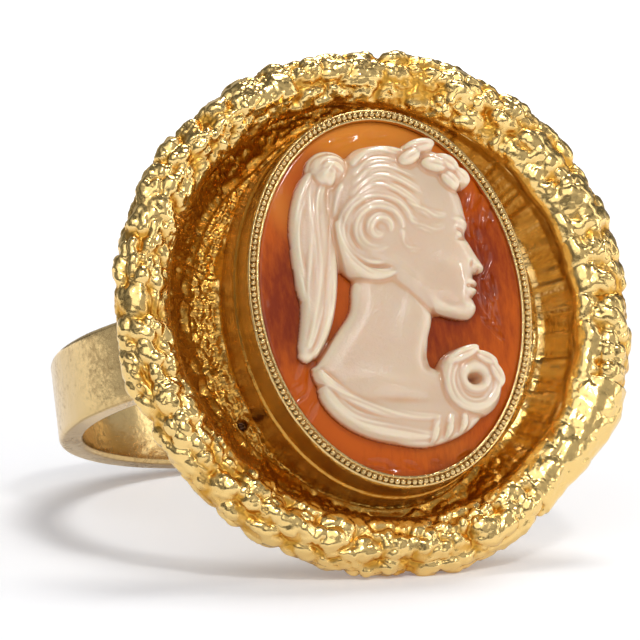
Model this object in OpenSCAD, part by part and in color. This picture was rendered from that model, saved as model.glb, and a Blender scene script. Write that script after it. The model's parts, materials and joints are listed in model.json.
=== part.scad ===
// Cameo ring
//
// A gold finger ring: a flat band, a round bowl-shaped head with a nugget rim, and
// inside it an oval bezel that holds a shell cameo of two layers, an orange ground
// and a cream bust. The ring lies on its side, on the rim of its head and on the
// back edge of its band.
//
// In the ring's own frame the finger hole runs along Z and the head faces -Y. A
// "level" there is a distance from the finger's axis, towards the head.

/* [Band] */
// Inside diameter of the finger hole
finger_d = 17.5; // [15:0.1:22]
// Width of the band along the finger
band_w = 3.4; // [2.4:0.1:5]
// Thickness of the band
band_t = 1.05; // [0.8:0.05:1.6]
// Rounding of the band's edges
band_edge_r = 0.2; // [0.1:0.05:0.35]

/* [Cameo] */
// Width of the cameo that shows inside the bezel
cameo_w = 10.7; // [8:0.1:13]
// Height of the cameo that shows inside the bezel, along the finger
cameo_h = 14.3; // [11:0.1:20]
// Thickness of the orange ground at its edge
ground_t = 1.6; // [1:0.1:2.2]
// Rise of the ground from its edge to its middle
ground_rise = 0.45; // [0.2:0.05:0.8]
// Height of the carved bust above the ground
relief_h = 1.3; // [0.8:0.05:1.8]

/* [Head] */
// Radial width of the nugget rim
rim_w = 2.4; // [1.5:0.1:3]
// Thickness of the rim from front to back
rim_t = 1.9; // [1.4:0.1:2.4]
// Depth of the channel below the rim's crest
channel_depth = 2.1; // [1.6:0.1:3]
// Space between the bezel and the rim at the two ends of the oval
end_space = 0.75; // [0.5:0.05:2]
// Metal between the band and the channel's floor
floor_t = 0.4; // [0.3:0.05:0.8]
// Depth to which the band is let into the back of the head
let_in = 0.6; // [0.3:0.05:0.7]

/* [Bezel] */
// Thickness of the bezel's wall
bezel_t = 0.5; // [0.35:0.05:0.8]
// Rise of the bezel's lip above the rim's crest
bezel_rise = 1.25; // [0.9:0.05:2]
// Overlap of the lip over the edge of the ground
lip_cover = 0.15; // [0.1:0.05:0.25]
// Width of the ledge that the ground rests on
ledge_w = 0.5; // [0.3:0.05:0.8]
// Step between the bezel's plain collar and its thicker foot
foot_step = 0.12; // [0.05:0.01:0.2]

// Width of the small casting pit in the channel's floor
pit_d = 0.45; // [0.3:0.05:0.6]

/* [Nuggets] */
// Height of the largest nuggets on the rim
nugget_h = 0.34; // [0.1:0.02:0.5]
// Usual width of a nugget
nugget_w = 1.25; // [0.9:0.05:2]

/* [Hidden] */

// Clearance between one piece and the next
clearance = 0.03;
// Points round the head and its oval bezel
head_n = 120;
// Sections across the nugget rim
rim_n = 12;
// Points round a full turn of the band, of its rounded edges, of the casting pit and
// of the ball behind the ground's face
round_n = 72;
edge_n = 16;
pit_n = 24;
dome_n = 180;

// Finger hole and band
finger_r = finger_d / 2;
band_r = finger_r + band_t;

// Half-axes of the cameo that shows, and radii of the head
oval_a = cameo_w / 2;
oval_b = cameo_h / 2;
bezel_b = oval_b + bezel_t;
rim_inner_r = bezel_b + end_space;
rim_mid_r = rim_inner_r + rim_w / 2;
head_r = rim_inner_r + rim_w;

// Levels of the head, from its back to the bezel's lip
back_at = band_r - let_in;
well_at = band_r + floor_t / 2;
channel_at = band_r + floor_t;
crest_at = channel_at + channel_depth;
rim_mid_at = crest_at - rim_t / 2;
lip_at = crest_at + bezel_rise;
lip_t = bezel_t / 2;
girdle_at = lip_at - lip_t - clearance;
seat_at = girdle_at - ground_t - clearance;

// Lean of the channel's outer wall, from the rim's inner edge to its foot
wall_lean = rim_w / 2;
channel_foot_r = rim_inner_r - wall_lean;

// Back of the head between the band and the rim: share of the head's radius, share
// of the rise from the back to the rim's foot
BACK_SECTION = [
    [0.44, 0],
    [0.72, 0.3],
    [0.88, 0.75],
];

// The rim's section runs from its foot behind, over the crest, to its inner edge
rim_from = -80;
rim_to = 178;

// Stretch of the rim that is worn nearly smooth, by its middle and half-span, with
// the level it is worn to and the share of its relief that is left
worn_angle = -38;
worn_span = 17;
worn_to = 0.6;
worn_keep = 0.3;

// Hand-made outline of the rim: angle round the head, share of the rim's width by
// which it stands out or in
RIM_SWELL = [
    [-180, 0],
    [-90, 0],
    [-68, 0],
    [-47, -0.14],
    [-27, 0.08],
    [0, 0.04],
    [38, 0.15],
    [62, 0.08],
    [90, -0.04],
    [122, -0.1],
    [150, -0.03],
    [180, 0],
];

// Radius of the ground's domed face, and the level of the sphere's centre
dome_r = (oval_b * oval_b + ground_rise * ground_rise) / (2 * ground_rise);
dome_at = girdle_at + ground_rise - dome_r;

// A repeatable number from 0 to 1 for each cell of the nugget pattern: the cell turns
// an angle by unrelated steps, and only the fine digits of its stretched sine count
chance_turn = [127.1, 311.7, 74.7];
chance_stretch = 4375.85;
function chance(i, j, k) =
    let (x = sin(i * chance_turn.x + j * chance_turn.y + k * chance_turn.z) * chance_stretch)
    x - floor(x);

// A point at an angle round the head, at a radius and a level
function head_point(angle, r, level) = [r * cos(angle), -level, r * sin(angle)];

// The head's angles, one for each point of a ring
function head_angle(i) = i * 360 / head_n;

// Radius of an ellipse with half-axes a and b, at an angle
function oval_r(a, b, angle) = a * b / norm([b * cos(angle), a * sin(angle)]);

// Rings of the head: round ones, and ovals that stand off the visible cameo
function round_ring(r, level) =
    [for (i = [0:head_n - 1]) head_point(head_angle(i), r, level)];
function oval_ring(off, level) =
    [for (i = [0:head_n - 1])
        head_point(head_angle(i), oval_r(oval_a + off, oval_b + off, head_angle(i)), level)];

// Nuggets of the rim: one domed lump in each cell of a grid that is wrapped round
// the rim, each with its own place, width and height
nugget_cols = round(2 * PI * rim_mid_r / nugget_w);
nugget_rows = round((rim_to - rim_from) / 360 * PI * (rim_w + rim_t) / 2 / nugget_w);
function wrap(i, n) = (i % n + n) % n;

// Spread of a nugget's middle in its cell, its least half-width and what chance adds
// to it, as shares of a cell, and the least share of the nugget height it reaches
nugget_spread = 0.5;
nugget_half = 0.5;
nugget_half_more = 0.28;
nugget_least = 0.45;
// Share across the rim, at each of its edges, over which the nuggets fade in
nugget_fade = 1 / 6;
function nugget(x, y, i, j) =
    let (
        col = wrap(i, nugget_cols),
        inset = (1 - nugget_spread) / 2,
        middle = [i, j] + [inset, inset]
            + nugget_spread * [chance(col, j, 1), chance(col, j, 2)],
        half_width = nugget_half + nugget_half_more * chance(col, j, 3),
        off = norm([x, y] - middle) / half_width
    )
    off < 1
    ? (nugget_least + (1 - nugget_least) * chance(col, j, 4)) * sqrt(1 - off * off)
    : 0;

// Depth below the rim's full section, as a share of the nugget height, at an angle
// round the head and a share across the rim
function nugget_dip(angle, across) =
    let (
        x = angle / 360 * nugget_cols,
        y = across * nugget_rows,
        highest = max([for (di = [-1:1], dj = [-1:1])
            nugget(x, y, floor(x) + di, floor(y) + dj)]),
        turn = abs(wrap(angle - worn_angle + 180, 360) - 180),
        top = turn < worn_span ? worn_to + worn_keep * (highest - worn_to) : highest
    )
    (1 - top) * min(1, min(across, 1 - across) / nugget_fade);

// One ring of the rim, at a share across it from the foot to the inner edge
function rim_ring(across) =
    let (tilt = rim_from + across * (rim_to - rim_from))
    [for (i = [0:head_n - 1])
        let (
            angle = head_angle(i),
            dip = nugget_h * nugget_dip(angle, across),
            swell = rim_w * lookup(wrap(angle + 180, 360) - 180, RIM_SWELL),
            r = rim_mid_r + (rim_w / 2 - dip) * cos(tilt) + swell * (1 + cos(tilt)) / 2,
            level = rim_mid_at + (rim_t / 2 - dip) * sin(tilt)
        )
        head_point(angle, r, level)];

// The channel's outer wall meets its floor, or the bezel's foot where the oval is
// long enough to reach the wall
function foot_r(angle) =
    max(channel_foot_r, oval_r(oval_a, oval_b, angle) + bezel_t + 2 * foot_step);
function foot_level(angle) =
    channel_at + (foot_r(angle) - channel_foot_r) / wall_lean * (rim_mid_at - channel_at);
foot_ring = [for (i = [0:head_n - 1])
    head_point(head_angle(i), foot_r(head_angle(i)), foot_level(head_angle(i)))];
collar_foot_ring = [for (i = [0:head_n - 1])
    let (angle = head_angle(i))
    head_point(angle, oval_r(oval_a, oval_b, angle) + bezel_t + foot_step, foot_level(angle))];

rim_rings = [for (k = [0:rim_n - 1]) rim_ring(k / (rim_n - 1))];
rim_foot_at = rim_mid_at + rim_t / 2 * sin(rim_from);

// Flat top of the lip, between two shares of the bezel's thickness
lip_outer = 0.75;
lip_inner = 0.25;
lip_ring = oval_ring(bezel_t * lip_outer, lip_at);

// Level of the step between the collar and its foot
step_at = (channel_at + lip_at) / 2;
ground_off = lip_cover;

// Every ring of the head, from the middle of its back, over the rim and through
// the channel, to the well under the cameo
head_rings = concat(
    [for (row = BACK_SECTION)
        round_ring(row[0] * head_r, back_at + row[1] * (rim_foot_at - back_at))],
    rim_rings,
    [foot_ring, collar_foot_ring],
    [
        oval_ring(bezel_t + foot_step, step_at),
        oval_ring(bezel_t, step_at + foot_step),
        oval_ring(bezel_t, lip_at - lip_t),
        lip_ring,
        oval_ring(bezel_t * lip_inner, lip_at),
        oval_ring(0, lip_at - lip_t),
        oval_ring(ground_off + clearance, lip_at - lip_t),
        oval_ring(ground_off + clearance, seat_at),
        oval_ring(ground_off - ledge_w, seat_at),
        oval_ring(ground_off - ledge_w, well_at),
    ]
);

// Resting tilt: the head's rim and the band's back edge are equally low
low_rim = [for (ring = rim_rings, p = ring) if (p.z < -head_r / 2) p];
function lowest(points, tilt) = min([for (p = points) p.z * cos(tilt) - p.y * sin(tilt)]);
function band_lowest(tilt) =
    -(band_r - band_edge_r) * sin(tilt) - (band_w / 2 - band_edge_r) * cos(tilt) - band_edge_r;
function resting_tilt(low, high, steps) =
    let (middle = (low + high) / 2)
    steps == 0 ? middle
    : lowest(low_rim, middle) < band_lowest(middle) ? resting_tilt(middle, high, steps - 1)
    : resting_tilt(low, middle, steps - 1);
tilt_most = 60;
tilt_halvings = 24;
rest_tilt = resting_tilt(0, tilt_most, tilt_halvings);

// Shift that puts the middle of the ring's footprint at the origin, on the floor
band_reach = (band_r - band_edge_r) * cos(rest_tilt)
    + (band_w / 2 - band_edge_r) * sin(rest_tilt) + band_edge_r;
front_reach = max([for (p = concat(low_rim, lip_ring))
    -p.y * cos(rest_tilt) - p.z * sin(rest_tilt)]);
rest_shift = [0, (front_reach - band_reach) / 2, -band_lowest(rest_tilt)];

module at_rest() {
    translate(rest_shift)
        rotate([-rest_tilt, 0, 0])
            children();
}

// Closed solid through rings with equally many points, capped at both ends. Each ring
// runs clockwise for a viewer who looks from the first ring to the last.
module loft(rings) {
    n = len(rings[0]);
    last = len(rings) - 1;
    sides = [for (k = [0:last - 1], i = [0:n - 1])
        let (
            j = (i + 1) % n,
            low_i = k * n + i,
            low_j = k * n + j,
            high_i = low_i + n,
            high_j = low_j + n
        )
        each (i + k) % 2 == 0
            ? [[low_i, high_j, low_j], [low_i, high_i, high_j]]
            : [[low_i, high_i, low_j], [low_j, high_i, high_j]]];
    first_cap = [for (i = [0:n - 1]) i];
    last_cap = [for (i = [n - 1:-1:0]) last * n + i];
    polyhedron([for (ring = rings) each ring], concat(sides, [first_cap, last_cap]));
}

// Section of the band, with rounded edges
module band_section() {
    translate([finger_r, -band_w / 2 + band_edge_r])
        square([band_t, band_w - 2 * band_edge_r]);
    translate([finger_r + band_edge_r, -band_w / 2])
        square([band_t - 2 * band_edge_r, band_w]);
    for (x = [finger_r + band_edge_r, band_r - band_edge_r], side = [-1, 1])
        translate([x, side * (band_w / 2 - band_edge_r)])
            circle(band_edge_r, $fn = edge_n);
}

// Casting pit, close to the bezel's foot, at its angle round the head
pit_angle = 216;
module pit() {
    r = oval_r(oval_a, oval_b, pit_angle) + bezel_t + foot_step + pit_d;
    translate(head_point(pit_angle, r, channel_at - floor_t))
        rotate([90, 0, 0])
            cylinder(h = channel_depth, d = pit_d, $fn = pit_n);
}

module gold_mount() {
    color("goldenrod")
        at_rest()
            difference() {
                union() {
                    rotate_extrude($fn = round_n)
                        band_section();
                    loft(head_rings);
                }
                pit();
            }
}

// Flat oval that stands off the visible cameo, between two levels
module oval_slab(off, from, to) {
    outline = [for (p = oval_ring(off, 0)) [p.x, p.z]];
    translate([0, -from, 0])
        rotate([90, 0, 0])
            linear_extrude(to - from)
                polygon(outline);
}

// Ball whose face is the ground's domed face, grown by a margin
module dome_ball(margin) {
    translate([0, -dome_at, 0])
        sphere(dome_r + margin, $fn = dome_n);
}

module cameo_ground() {
    color("chocolate")
        at_rest() {
            oval_slab(ground_off, girdle_at - ground_t, girdle_at);
            intersection() {
                oval_slab(-clearance, girdle_at - ground_t / 2, girdle_at + 2 * ground_rise);
                dome_ball(0);
            }
        }
}

// The bust's tables hold places in percent of the cameo's half-width and half-height
// from its middle, sizes in percent of its half-width, and heights in percent of
// the relief's height.
function spot(u, v) = [u / 100 * oval_a, v / 100 * oval_b];
function span(share) = share / 100 * oval_a;
function rise(share) = share / 100 * relief_h;

// A point of the relief, at a height above the ground's face
function raised(p, h) =
    [p.x, -dome_at - sqrt(dome_r * dome_r - p.x * p.x - p.y * p.y) - h, p.y];

// How far each carved form reaches into the ground before the dome cuts it off
root = ground_rise;

// Height of a cushion, as a share, at a share of the way out from its middle. The
// fullness says how flat its top and how steep its edge is.
cushion_fullness = 3;
function cushion_share(s) = pow(max(0, 1 - pow(s, cushion_fullness)), 1 / cushion_fullness);

// Angles up a cushion's side, from its edge to near its middle, of its rings
CUSHION_STEPS = [0, 14, 36, 60, 80];

// Cushion over an outline that is seen whole from its middle
module cushion(outline, middle, h) {
    steps = [for (t = CUSHION_STEPS) pow(cos(t), 2 / cushion_fullness)];
    root_ring = [for (p = outline) raised(p, -root)];
    rings = [for (s = steps)
        [for (p = outline) raised(middle + (p - middle) * s, h * cushion_share(s))]];
    loft(concat([root_ring], rings));
}

// Smooth closed curve through a few points
function smooth(a, b, c, d, t) =
    (b * 2 + (c - a) * t + (a * 2 - b * 5 + c * 4 - d) * t * t
        + (b * 3 - a - c * 3 + d) * t * t * t) / 2;
function smooth_loop(points, steps) =
    let (n = len(points))
    [for (i = [0:n - 1], k = [0:steps - 1])
        smooth(points[(i + n - 1) % n], points[i], points[(i + 1) % n],
            points[(i + 2) % n], k / steps)];

// Profile of the head, over the crown to the nape, under the hair to the chin, and
// up the face to the hairline: u, v
HEAD_OUTLINE = [
    [50, 70],
    [35, 78],
    [9, 82],
    [-17, 76.5],
    [-35, 60],
    [-40, 37],
    [-31, 17],
    [-11, 12],
    [6, 1],
    [22, -10],
    [37, -14.5],
    [51, -16.7],
    [58, -15.3],
    [61.7, -11],
    [60.6, -5],
    [64.7, -1.2],
    [62.8, 0.9],
    [65.8, 2.8],
    [62.8, 5.4],
    [63.2, 8.2],
    [70, 9.5],
    [72.5, 11.5],
    [71.5, 14],
    [65.5, 22],
    [61, 30.5],
    [63.5, 35.5],
    [63, 42.5],
    [61.5, 52.5],
    [57, 62],
];
HEAD_MIDDLE = [22, 32];
head_rise = 82;

// Outline of the neck and the draped shoulders: u, v
BUST_OUTLINE = [
    [6, 14],
    [-22, 17],
    [-32.5, 6],
    [-37, -8.5],
    [-50, -21],
    [-65, -35.5],
    [-70, -40.5],
    [-58, -57],
    [-41, -71.5],
    [-17, -81.5],
    [5, -85.5],
    [22, -84.5],
    [43, -79],
    [58, -70],
    [67, -58],
    [62, -46],
    [26, -43],
    [20, -38],
    [21.5, -27],
    [26, -10],
];
BUST_MIDDLE = [-8, -41];
bust_rise = 58;

// Rounded pads: u, v, half-width, half-height, turn, height, points round it
PADS = [
    // cap of hair, the bun behind it, and the bed of the diadem
    [-2, 46.5, 43, 50, 0, 90, 30],
    [-38, 70.5, 16, 14, 15, 66, 30],
    [45, 70, 21, 11, -42, 82, 30],
    // eye, wing of the nose and lips
    [52.5, 30, 5, 2.6, -8, 87, 10],
    [62, 11.5, 4.5, 3.4, 0, 84, 10],
    [60, 3, 5.5, 2, 0, 83, 10],
    [59, -1.2, 5, 1.9, 0, 82.5, 10],
    // heart of the rosette
    [50, -50, 21, 21, 0, 80, 30],
];
function pad_share(row, p) =
    let (
        off = p - spot(row[0], row[1]),
        x = off.x * cos(row[4]) + off.y * sin(row[4]),
        y = off.y * cos(row[4]) - off.x * sin(row[4])
    )
    norm([x / span(row[2]), y / span(row[3])]);
function pads_top(p) =
    max([for (row = PADS)
        let (s = pad_share(row, p))
        s < 1 ? rise(row[5]) * cushion_share(s) : 0]);

module pad(row) {
    n = row[6];
    middle = spot(row[0], row[1]);
    outline = [for (i = [0:n - 1])
        let (
            x = span(row[2]) * cos(i * 360 / n),
            y = span(row[3]) * sin(i * 360 / n)
        )
        middle + [x * cos(row[4]) - y * sin(row[4]), x * sin(row[4]) + y * cos(row[4])]];
    cushion(outline, middle, rise(row[5]));
}

// Share of a strand's size that is left at its two ends
strand_end = 0.35;

// Section of a carved strand: share of its half-width, share of its height
STRAND_SECTION = [[-1, -2], [-0.8, 0.45], [0, 1], [0.8, 0.45], [1, -2]];

// Strand along a path, tapered at both ends, on the pads or at its own foot height
module strand(path, w, h, foot) {
    last = len(path) - 1;
    rings = [for (i = [0:last])
        let (
            along = path[min(i + 1, last)] - path[max(i - 1, 0)],
            side = [along.y, -along.x] / norm(along),
            taper = strand_end + (1 - strand_end) * sqrt(sin(180 * i / last))
        )
        [for (s = STRAND_SECTION)
            let (p = path[i] + side * s.x * w / 2 * taper)
            raised(p, max(pads_top(p), foot) + s.y * h * taper)]];
    loft(rings);
}

// Sections of a strand: so many to each relief height of its length, and at least a few
sections_per_relief = 1.75;
sections_least = 4;
function sections(length) =
    max(sections_least, ceil(length / relief_h * sections_per_relief));

// Curled strands: u and v of the curl's middle, start and end radius, start and end
// angle, width, height, foot
CURLS = [
    // the curl over the ear
    [-11, 35, 26, 24, 5, 285, 8.5, 9, 60],
    [-11, 35, 17.5, 16, 0, 290, 8.5, 9, 60],
    [-11, 35, 9, 5, -20, 290, 8, 9, 60],
    // rolled edge of the rosette
    [50, -51, 19, 17, 95, 375, 12, 14, 60],
];

module curl(row) {
    middle = spot(row[0], row[1]);
    length = span(row[2] + row[3]) / 2 * (row[5] - row[4]) * PI / 180;
    n = sections(length);
    path = [for (i = [0:n])
        let (
            r = span(row[2] + (row[3] - row[2]) * i / n),
            angle = row[4] + (row[5] - row[4]) * i / n
        )
        middle + [r * cos(angle), r * sin(angle)]];
    strand(path, span(row[6]), rise(row[7]), rise(row[8]));
}

// Flowing strands and folds: u and v of the start, of two pulls and of the end,
// then width, height and foot
FLOWS = [
    // the long tress down the nape
    [-40, 69, -68, 46, -43, 4, -73, -31, 26, 22, 30],
    [-46, 73, -72, 55, -68, 25, -69, 0, 9, 10, 34],
    [-42, 66, -66, 44, -47, 8, -72, -27, 8, 8, 46],
    [-33, 62, -56, 40, -36, 6, -68, -31, 9, 10, 38],
    // round the bun
    [-53, 66, -52, 81, -33, 84, -24, 75, 8, 10, 20],
    [-45, 66, -43, 75, -35, 76, -30, 69, 7, 10, 20],
    // the crown's combed strands
    [-21, 73, -8, 82, 12, 82, 32, 73, 8.5, 9, 60],
    [-23, 67, -8, 78, 14, 77, 38, 66, 8.5, 9, 60],
    [-25, 61, -8, 73, 14, 72, 38, 58, 8.5, 9, 60],
    [-28, 55, -10, 68, 12, 67, 31, 51, 8.5, 9, 60],
    [-31, 48, -16, 63, 8, 62, 25, 44, 8.5, 9, 60],
    // waves from the curl to the brow
    [14, 50, 24, 44, 28, 40, 42, 41, 8, 9, 78],
    [13, 41, 20, 33, 28, 31, 40, 35, 8, 8, 78],
    // under the curl, towards the ear
    [-39, 40, -38, 14, -22, 5, 4, 13, 8, 8, 60],
    [6, 33, 8, 24, 10, 20, 20, 22, 7, 8, 76],
    // brow, and the lids of the eye
    [45, 36, 51, 38, 57, 38, 62, 35, 5, 8, 78],
    [48, 31, 51, 33.5, 54, 33.5, 57, 31, 3, 8, 82],
    // hems of the drapery
    [-66, -42, -50, -60, -22, -69, 20, -70, 8, 10, 50],
    [-62, -51, -49, -68, -22, -77, 17, -79, 13, 14, 42],
    [20, -69, 17, -74, 17, -79, 15, -83, 6, 12, 45],
    [30, -69, 29, -74, 28, -78, 26, -81, 6, 12, 45],
    [40, -68, 41, -72, 40, -75, 38, -78, 6, 12, 45],
];

module flow(row) {
    a = spot(row[0], row[1]);
    b = spot(row[2], row[3]);
    c = spot(row[4], row[5]);
    d = spot(row[6], row[7]);
    n = sections(norm(b - a) + norm(c - b) + norm(d - c));
    path = [for (i = [0:n])
        let (
            t = i / n,
            s = 1 - t
        )
        a * s * s * s + b * 3 * s * s * t + c * 3 * s * t * t + d * t * t * t];
    strand(path, span(row[8]), rise(row[9]), rise(row[10]));
}

// Leaves of the diadem and petals of the rosette: u, v, turn, length, width, height
LEAVES = [
    [32, 82, 10, 27, 13, 88],
    [51, 71, -38, 21, 14, 96],
    [61, 63, -58, 17, 12, 92],
    [22, 75, 25, 20, 11, 96],
    [40, 70, -15, 20, 12, 100],
    [51, 61, -48, 18, 12, 96],
    [43, -37, 22, 30, 11, 84],
    [61, -40, -28, 22, 11, 80],
    [68, -48, -62, 22, 11, 80],
];

// Thickness of a leaf's tips and of its root as shares of its middle's, how far its
// tips bend down as a share of that, and points round its middle, tips and root
leaf_tip = 1 / 3;
leaf_root = 1 / 2;
leaf_droop = 1.2;
leaf_n = [10, 8, 6];

module leaf(row) {
    middle = spot(row[0], row[1]);
    reach = span(row[3]) / 2;
    along = [cos(row[2]), sin(row[2])];
    thick = span(row[4]) / 2;
    top = rise(row[5]);
    hull() {
        translate(raised(middle, top - thick))
            sphere(thick, $fn = leaf_n[0]);
        for (side = [-1, 1])
            translate(raised(middle + along * side * (reach - thick * leaf_tip),
                top - thick * leaf_droop))
                sphere(thick * leaf_tip, $fn = leaf_n[1]);
        translate(raised(middle, -root))
            sphere(thick * leaf_root, $fn = leaf_n[2]);
    }
}

// Hollow in the rosette's heart: u, v, radius, height of its middle
HOLLOW = [51, -50.5, 9, 84];
hollow_n = 20;

module hollow() {
    translate(raised(spot(HOLLOW[0], HOLLOW[1]), rise(HOLLOW[3])))
        sphere(span(HOLLOW[2]), $fn = hollow_n);
}

// Head or bust: a cushion over a smoothed outline, with so many points to each of
// the outline's own
outline_steps = 2;
module body(outline, middle, share) {
    cushion(smooth_loop([for (p = outline) spot(p.x, p.y)], outline_steps),
        spot(middle.x, middle.y), rise(share));
}

module cameo_figure() {
    color("antiquewhite")
        at_rest()
            difference() {
                union() {
                    body(HEAD_OUTLINE, HEAD_MIDDLE, head_rise);
                    body(BUST_OUTLINE, BUST_MIDDLE, bust_rise);
                    for (row = PADS)
                        pad(row);
                    for (row = CURLS)
                        curl(row);
                    for (row = FLOWS)
                        flow(row);
                    for (row = LEAVES)
                        leaf(row);
                }
                dome_ball(clearance);
                hollow();
            }
}

gold_mount();
cameo_ground();
cameo_figure();
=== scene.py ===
# %% [markdown]
# # A gold ring with a shell cameo
# The ring has a round bowl-shaped head with a thick rim of nuggets. A channel runs
# inside the rim, and in the middle an oval bezel with a beaded edge holds a carved
# shell cameo. The CAD frame gives every size. This script makes the same forms again
# with far more detail, gives each one its finish, and lights the ring on a white table.

import json
from math import atan2, ceil, cos, pi, radians, sin

import bmesh
import bpy
import numpy as np
from mathutils import Matrix, Vector


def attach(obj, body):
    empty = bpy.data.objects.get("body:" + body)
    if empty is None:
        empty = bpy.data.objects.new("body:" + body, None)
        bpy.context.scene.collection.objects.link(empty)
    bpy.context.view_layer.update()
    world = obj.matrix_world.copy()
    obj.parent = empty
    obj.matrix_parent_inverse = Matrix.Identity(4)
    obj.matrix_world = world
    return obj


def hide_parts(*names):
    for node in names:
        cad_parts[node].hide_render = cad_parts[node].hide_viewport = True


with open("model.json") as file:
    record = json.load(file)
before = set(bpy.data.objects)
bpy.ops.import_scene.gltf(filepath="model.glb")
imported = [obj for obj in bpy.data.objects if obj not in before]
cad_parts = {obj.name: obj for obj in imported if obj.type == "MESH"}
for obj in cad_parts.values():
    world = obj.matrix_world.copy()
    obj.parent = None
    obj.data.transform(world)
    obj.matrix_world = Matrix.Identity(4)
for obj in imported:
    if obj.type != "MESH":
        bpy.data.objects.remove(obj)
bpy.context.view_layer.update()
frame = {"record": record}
MM = 0.001

# %% [markdown]
# ## The ring's own frame
# A jeweller thinks of a ring with its finger hole upright. Here the ring lies on its
# side, tilted onto the rim of its head. So every form is worked out in the ring's own
# frame, in millimetres, with the finger hole along z and the head towards -y, and is
# laid down last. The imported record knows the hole's place and direction.

# %% Laying the ring down
finger_hole = next(m for m in frame["record"]["mounts"] if m["name"] == "finger")
HOLE_MIDDLE = np.array(finger_hole["pos_m"])
TILT = atan2(finger_hole["axis"][1], finger_hole["axis"][2])


def lay_down(points):
    """Points of the ring's own frame, in mm, as points of the row frame, in metres."""
    x, y, z = np.moveaxis(np.asarray(points, float), -1, 0)
    lying = [x, y * cos(TILT) + z * sin(TILT), z * cos(TILT) - y * sin(TILT)]
    return np.stack(lying, axis=-1) * MM + HOLE_MIDDLE


print("tilt of the ring:", round(np.degrees(TILT), 2), "degrees")

# %% [markdown]
# ## Sizes
# These are the driving dimensions of the CAD model, in millimetres. A level is a
# distance from the finger's axis towards the head. Everything below is worked out from
# them, so the detailed forms lie where the solids are.

# %% Driving dimensions
FINGER_R = 8.75
BAND_W = 3.4
BAND_T = 1.05
BAND_EDGE_R = 0.2
OVAL_A = 5.35
OVAL_B = 7.15
GROUND_T = 1.6
GROUND_RISE = 0.45
RELIEF_H = 1.3
RIM_W = 2.4
RIM_T = 1.9
CHANNEL_DEPTH = 2.1
END_SPACE = 0.75
FLOOR_T = 0.4
LET_IN = 0.6
BEZEL_T = 0.5
BEZEL_RISE = 1.25
LIP_COVER = 0.15
LEDGE_W = 0.5
FOOT_STEP = 0.12
PIT_D = 0.45
NUGGET_H = 0.34
NUGGET_W = 1.25
CLEARANCE = 0.03

# %% Levels and radii that follow
BAND_R = FINGER_R + BAND_T
RIM_INNER_R = OVAL_B + BEZEL_T + END_SPACE
RIM_MID_R = RIM_INNER_R + RIM_W / 2
HEAD_R = RIM_INNER_R + RIM_W
BACK_AT = BAND_R - LET_IN
WELL_AT = BAND_R + FLOOR_T / 2
CHANNEL_AT = BAND_R + FLOOR_T
CREST_AT = CHANNEL_AT + CHANNEL_DEPTH
RIM_MID_AT = CREST_AT - RIM_T / 2
LIP_AT = CREST_AT + BEZEL_RISE
LIP_T = BEZEL_T / 2
GIRDLE_AT = LIP_AT - LIP_T - CLEARANCE
SEAT_AT = GIRDLE_AT - GROUND_T - CLEARANCE
WALL_LEAN = RIM_W / 2
CHANNEL_FOOT_R = RIM_INNER_R - WALL_LEAN
STEP_AT = (CHANNEL_AT + LIP_AT) / 2
DOME_R = (OVAL_B ** 2 + GROUND_RISE ** 2) / (2 * GROUND_RISE)
DOME_AT = GIRDLE_AT + GROUND_RISE - DOME_R
print("head across:", round(2 * HEAD_R, 2), "mm; lip above the finger's axis:", LIP_AT)

# %% [markdown]
# ## Chance and wandering noise
# Nuggets, pits and brush marks have to look accidental and still come out the same
# each time. A sine with large factors gives every cell of a grid its own number. The
# CAD nuggets use the same formula, so the nuggets below fall where the solid has them.

# %% Repeatable chance
CHANCE_TURNS = (127.1, 311.7, 74.7)
CHANCE_STRETCH = 4375.85
DOME_HALF_MORE = 0.28
DOME_LEAST = 0.45


def chance(i, j, k):
    """A repeatable number from 0 to 1 for each cell i, j of a pattern k."""
    turn_i, turn_j, turn_k = CHANCE_TURNS
    x = np.sin(np.radians(i * turn_i + j * turn_j + k * turn_k)) * CHANCE_STRETCH
    return x - np.floor(x)


def wander(x, y, k, cols=None):
    """Smooth noise from 0 to 1; with cols it joins up after that many cells of x."""
    i, j = np.floor(x), np.floor(y)
    fx, fy = x - i, y - j
    fx, fy = fx * fx * (3 - 2 * fx), fy * fy * (3 - 2 * fy)
    near, far = (i % cols, (i + 1) % cols) if cols else (i, i + 1)
    low = chance(near, j, k) * (1 - fx) + chance(far, j, k) * fx
    high = chance(near, j + 1, k) * (1 - fx) + chance(far, j + 1, k) * fx
    return low * (1 - fy) + high * fy


def domes(x, y, k, cols, spread=0.5, half=0.5):
    """Height from 0 to 1 of domed lumps, one in each cell, joined up round the ring."""
    i, j = np.floor(x), np.floor(y)
    highest = np.zeros_like(x)
    for di in (-1, 0, 1):
        for dj in (-1, 0, 1):
            col, row = (i + di) % cols, j + dj
            mid_x = i + di + (1 - spread) / 2 + spread * chance(col, row, k)
            mid_y = row + (1 - spread) / 2 + spread * chance(col, row, k + 1)
            reach = half + DOME_HALF_MORE * chance(col, row, k + 2)
            off = np.hypot(x - mid_x, y - mid_y) / reach
            top = DOME_LEAST + (1 - DOME_LEAST) * chance(col, row, k + 3)
            highest = np.maximum(highest, top * np.sqrt(np.clip(1 - off ** 2, 0, 1)))
    return highest


print("chance of the first cell:", round(float(chance(1, 1, 1)), 4))

# %% [markdown]
# ## One way to make a skin
# Most forms here are skins: a rim wrapped round a circle, a bowl turned from a section,
# a dome. Each one starts as a flat grid from bmesh, and a function moves its corners to
# the place they have on the ring, as a sculptor pushes a sheet of wax. Where the sheet
# meets itself the doubles are merged, so seams and poles are closed. Numbers such as
# how deep a point lies in a crevice go along as attributes, for the materials.

# %% Skin from a grid
WELD = 2e-7


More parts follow.
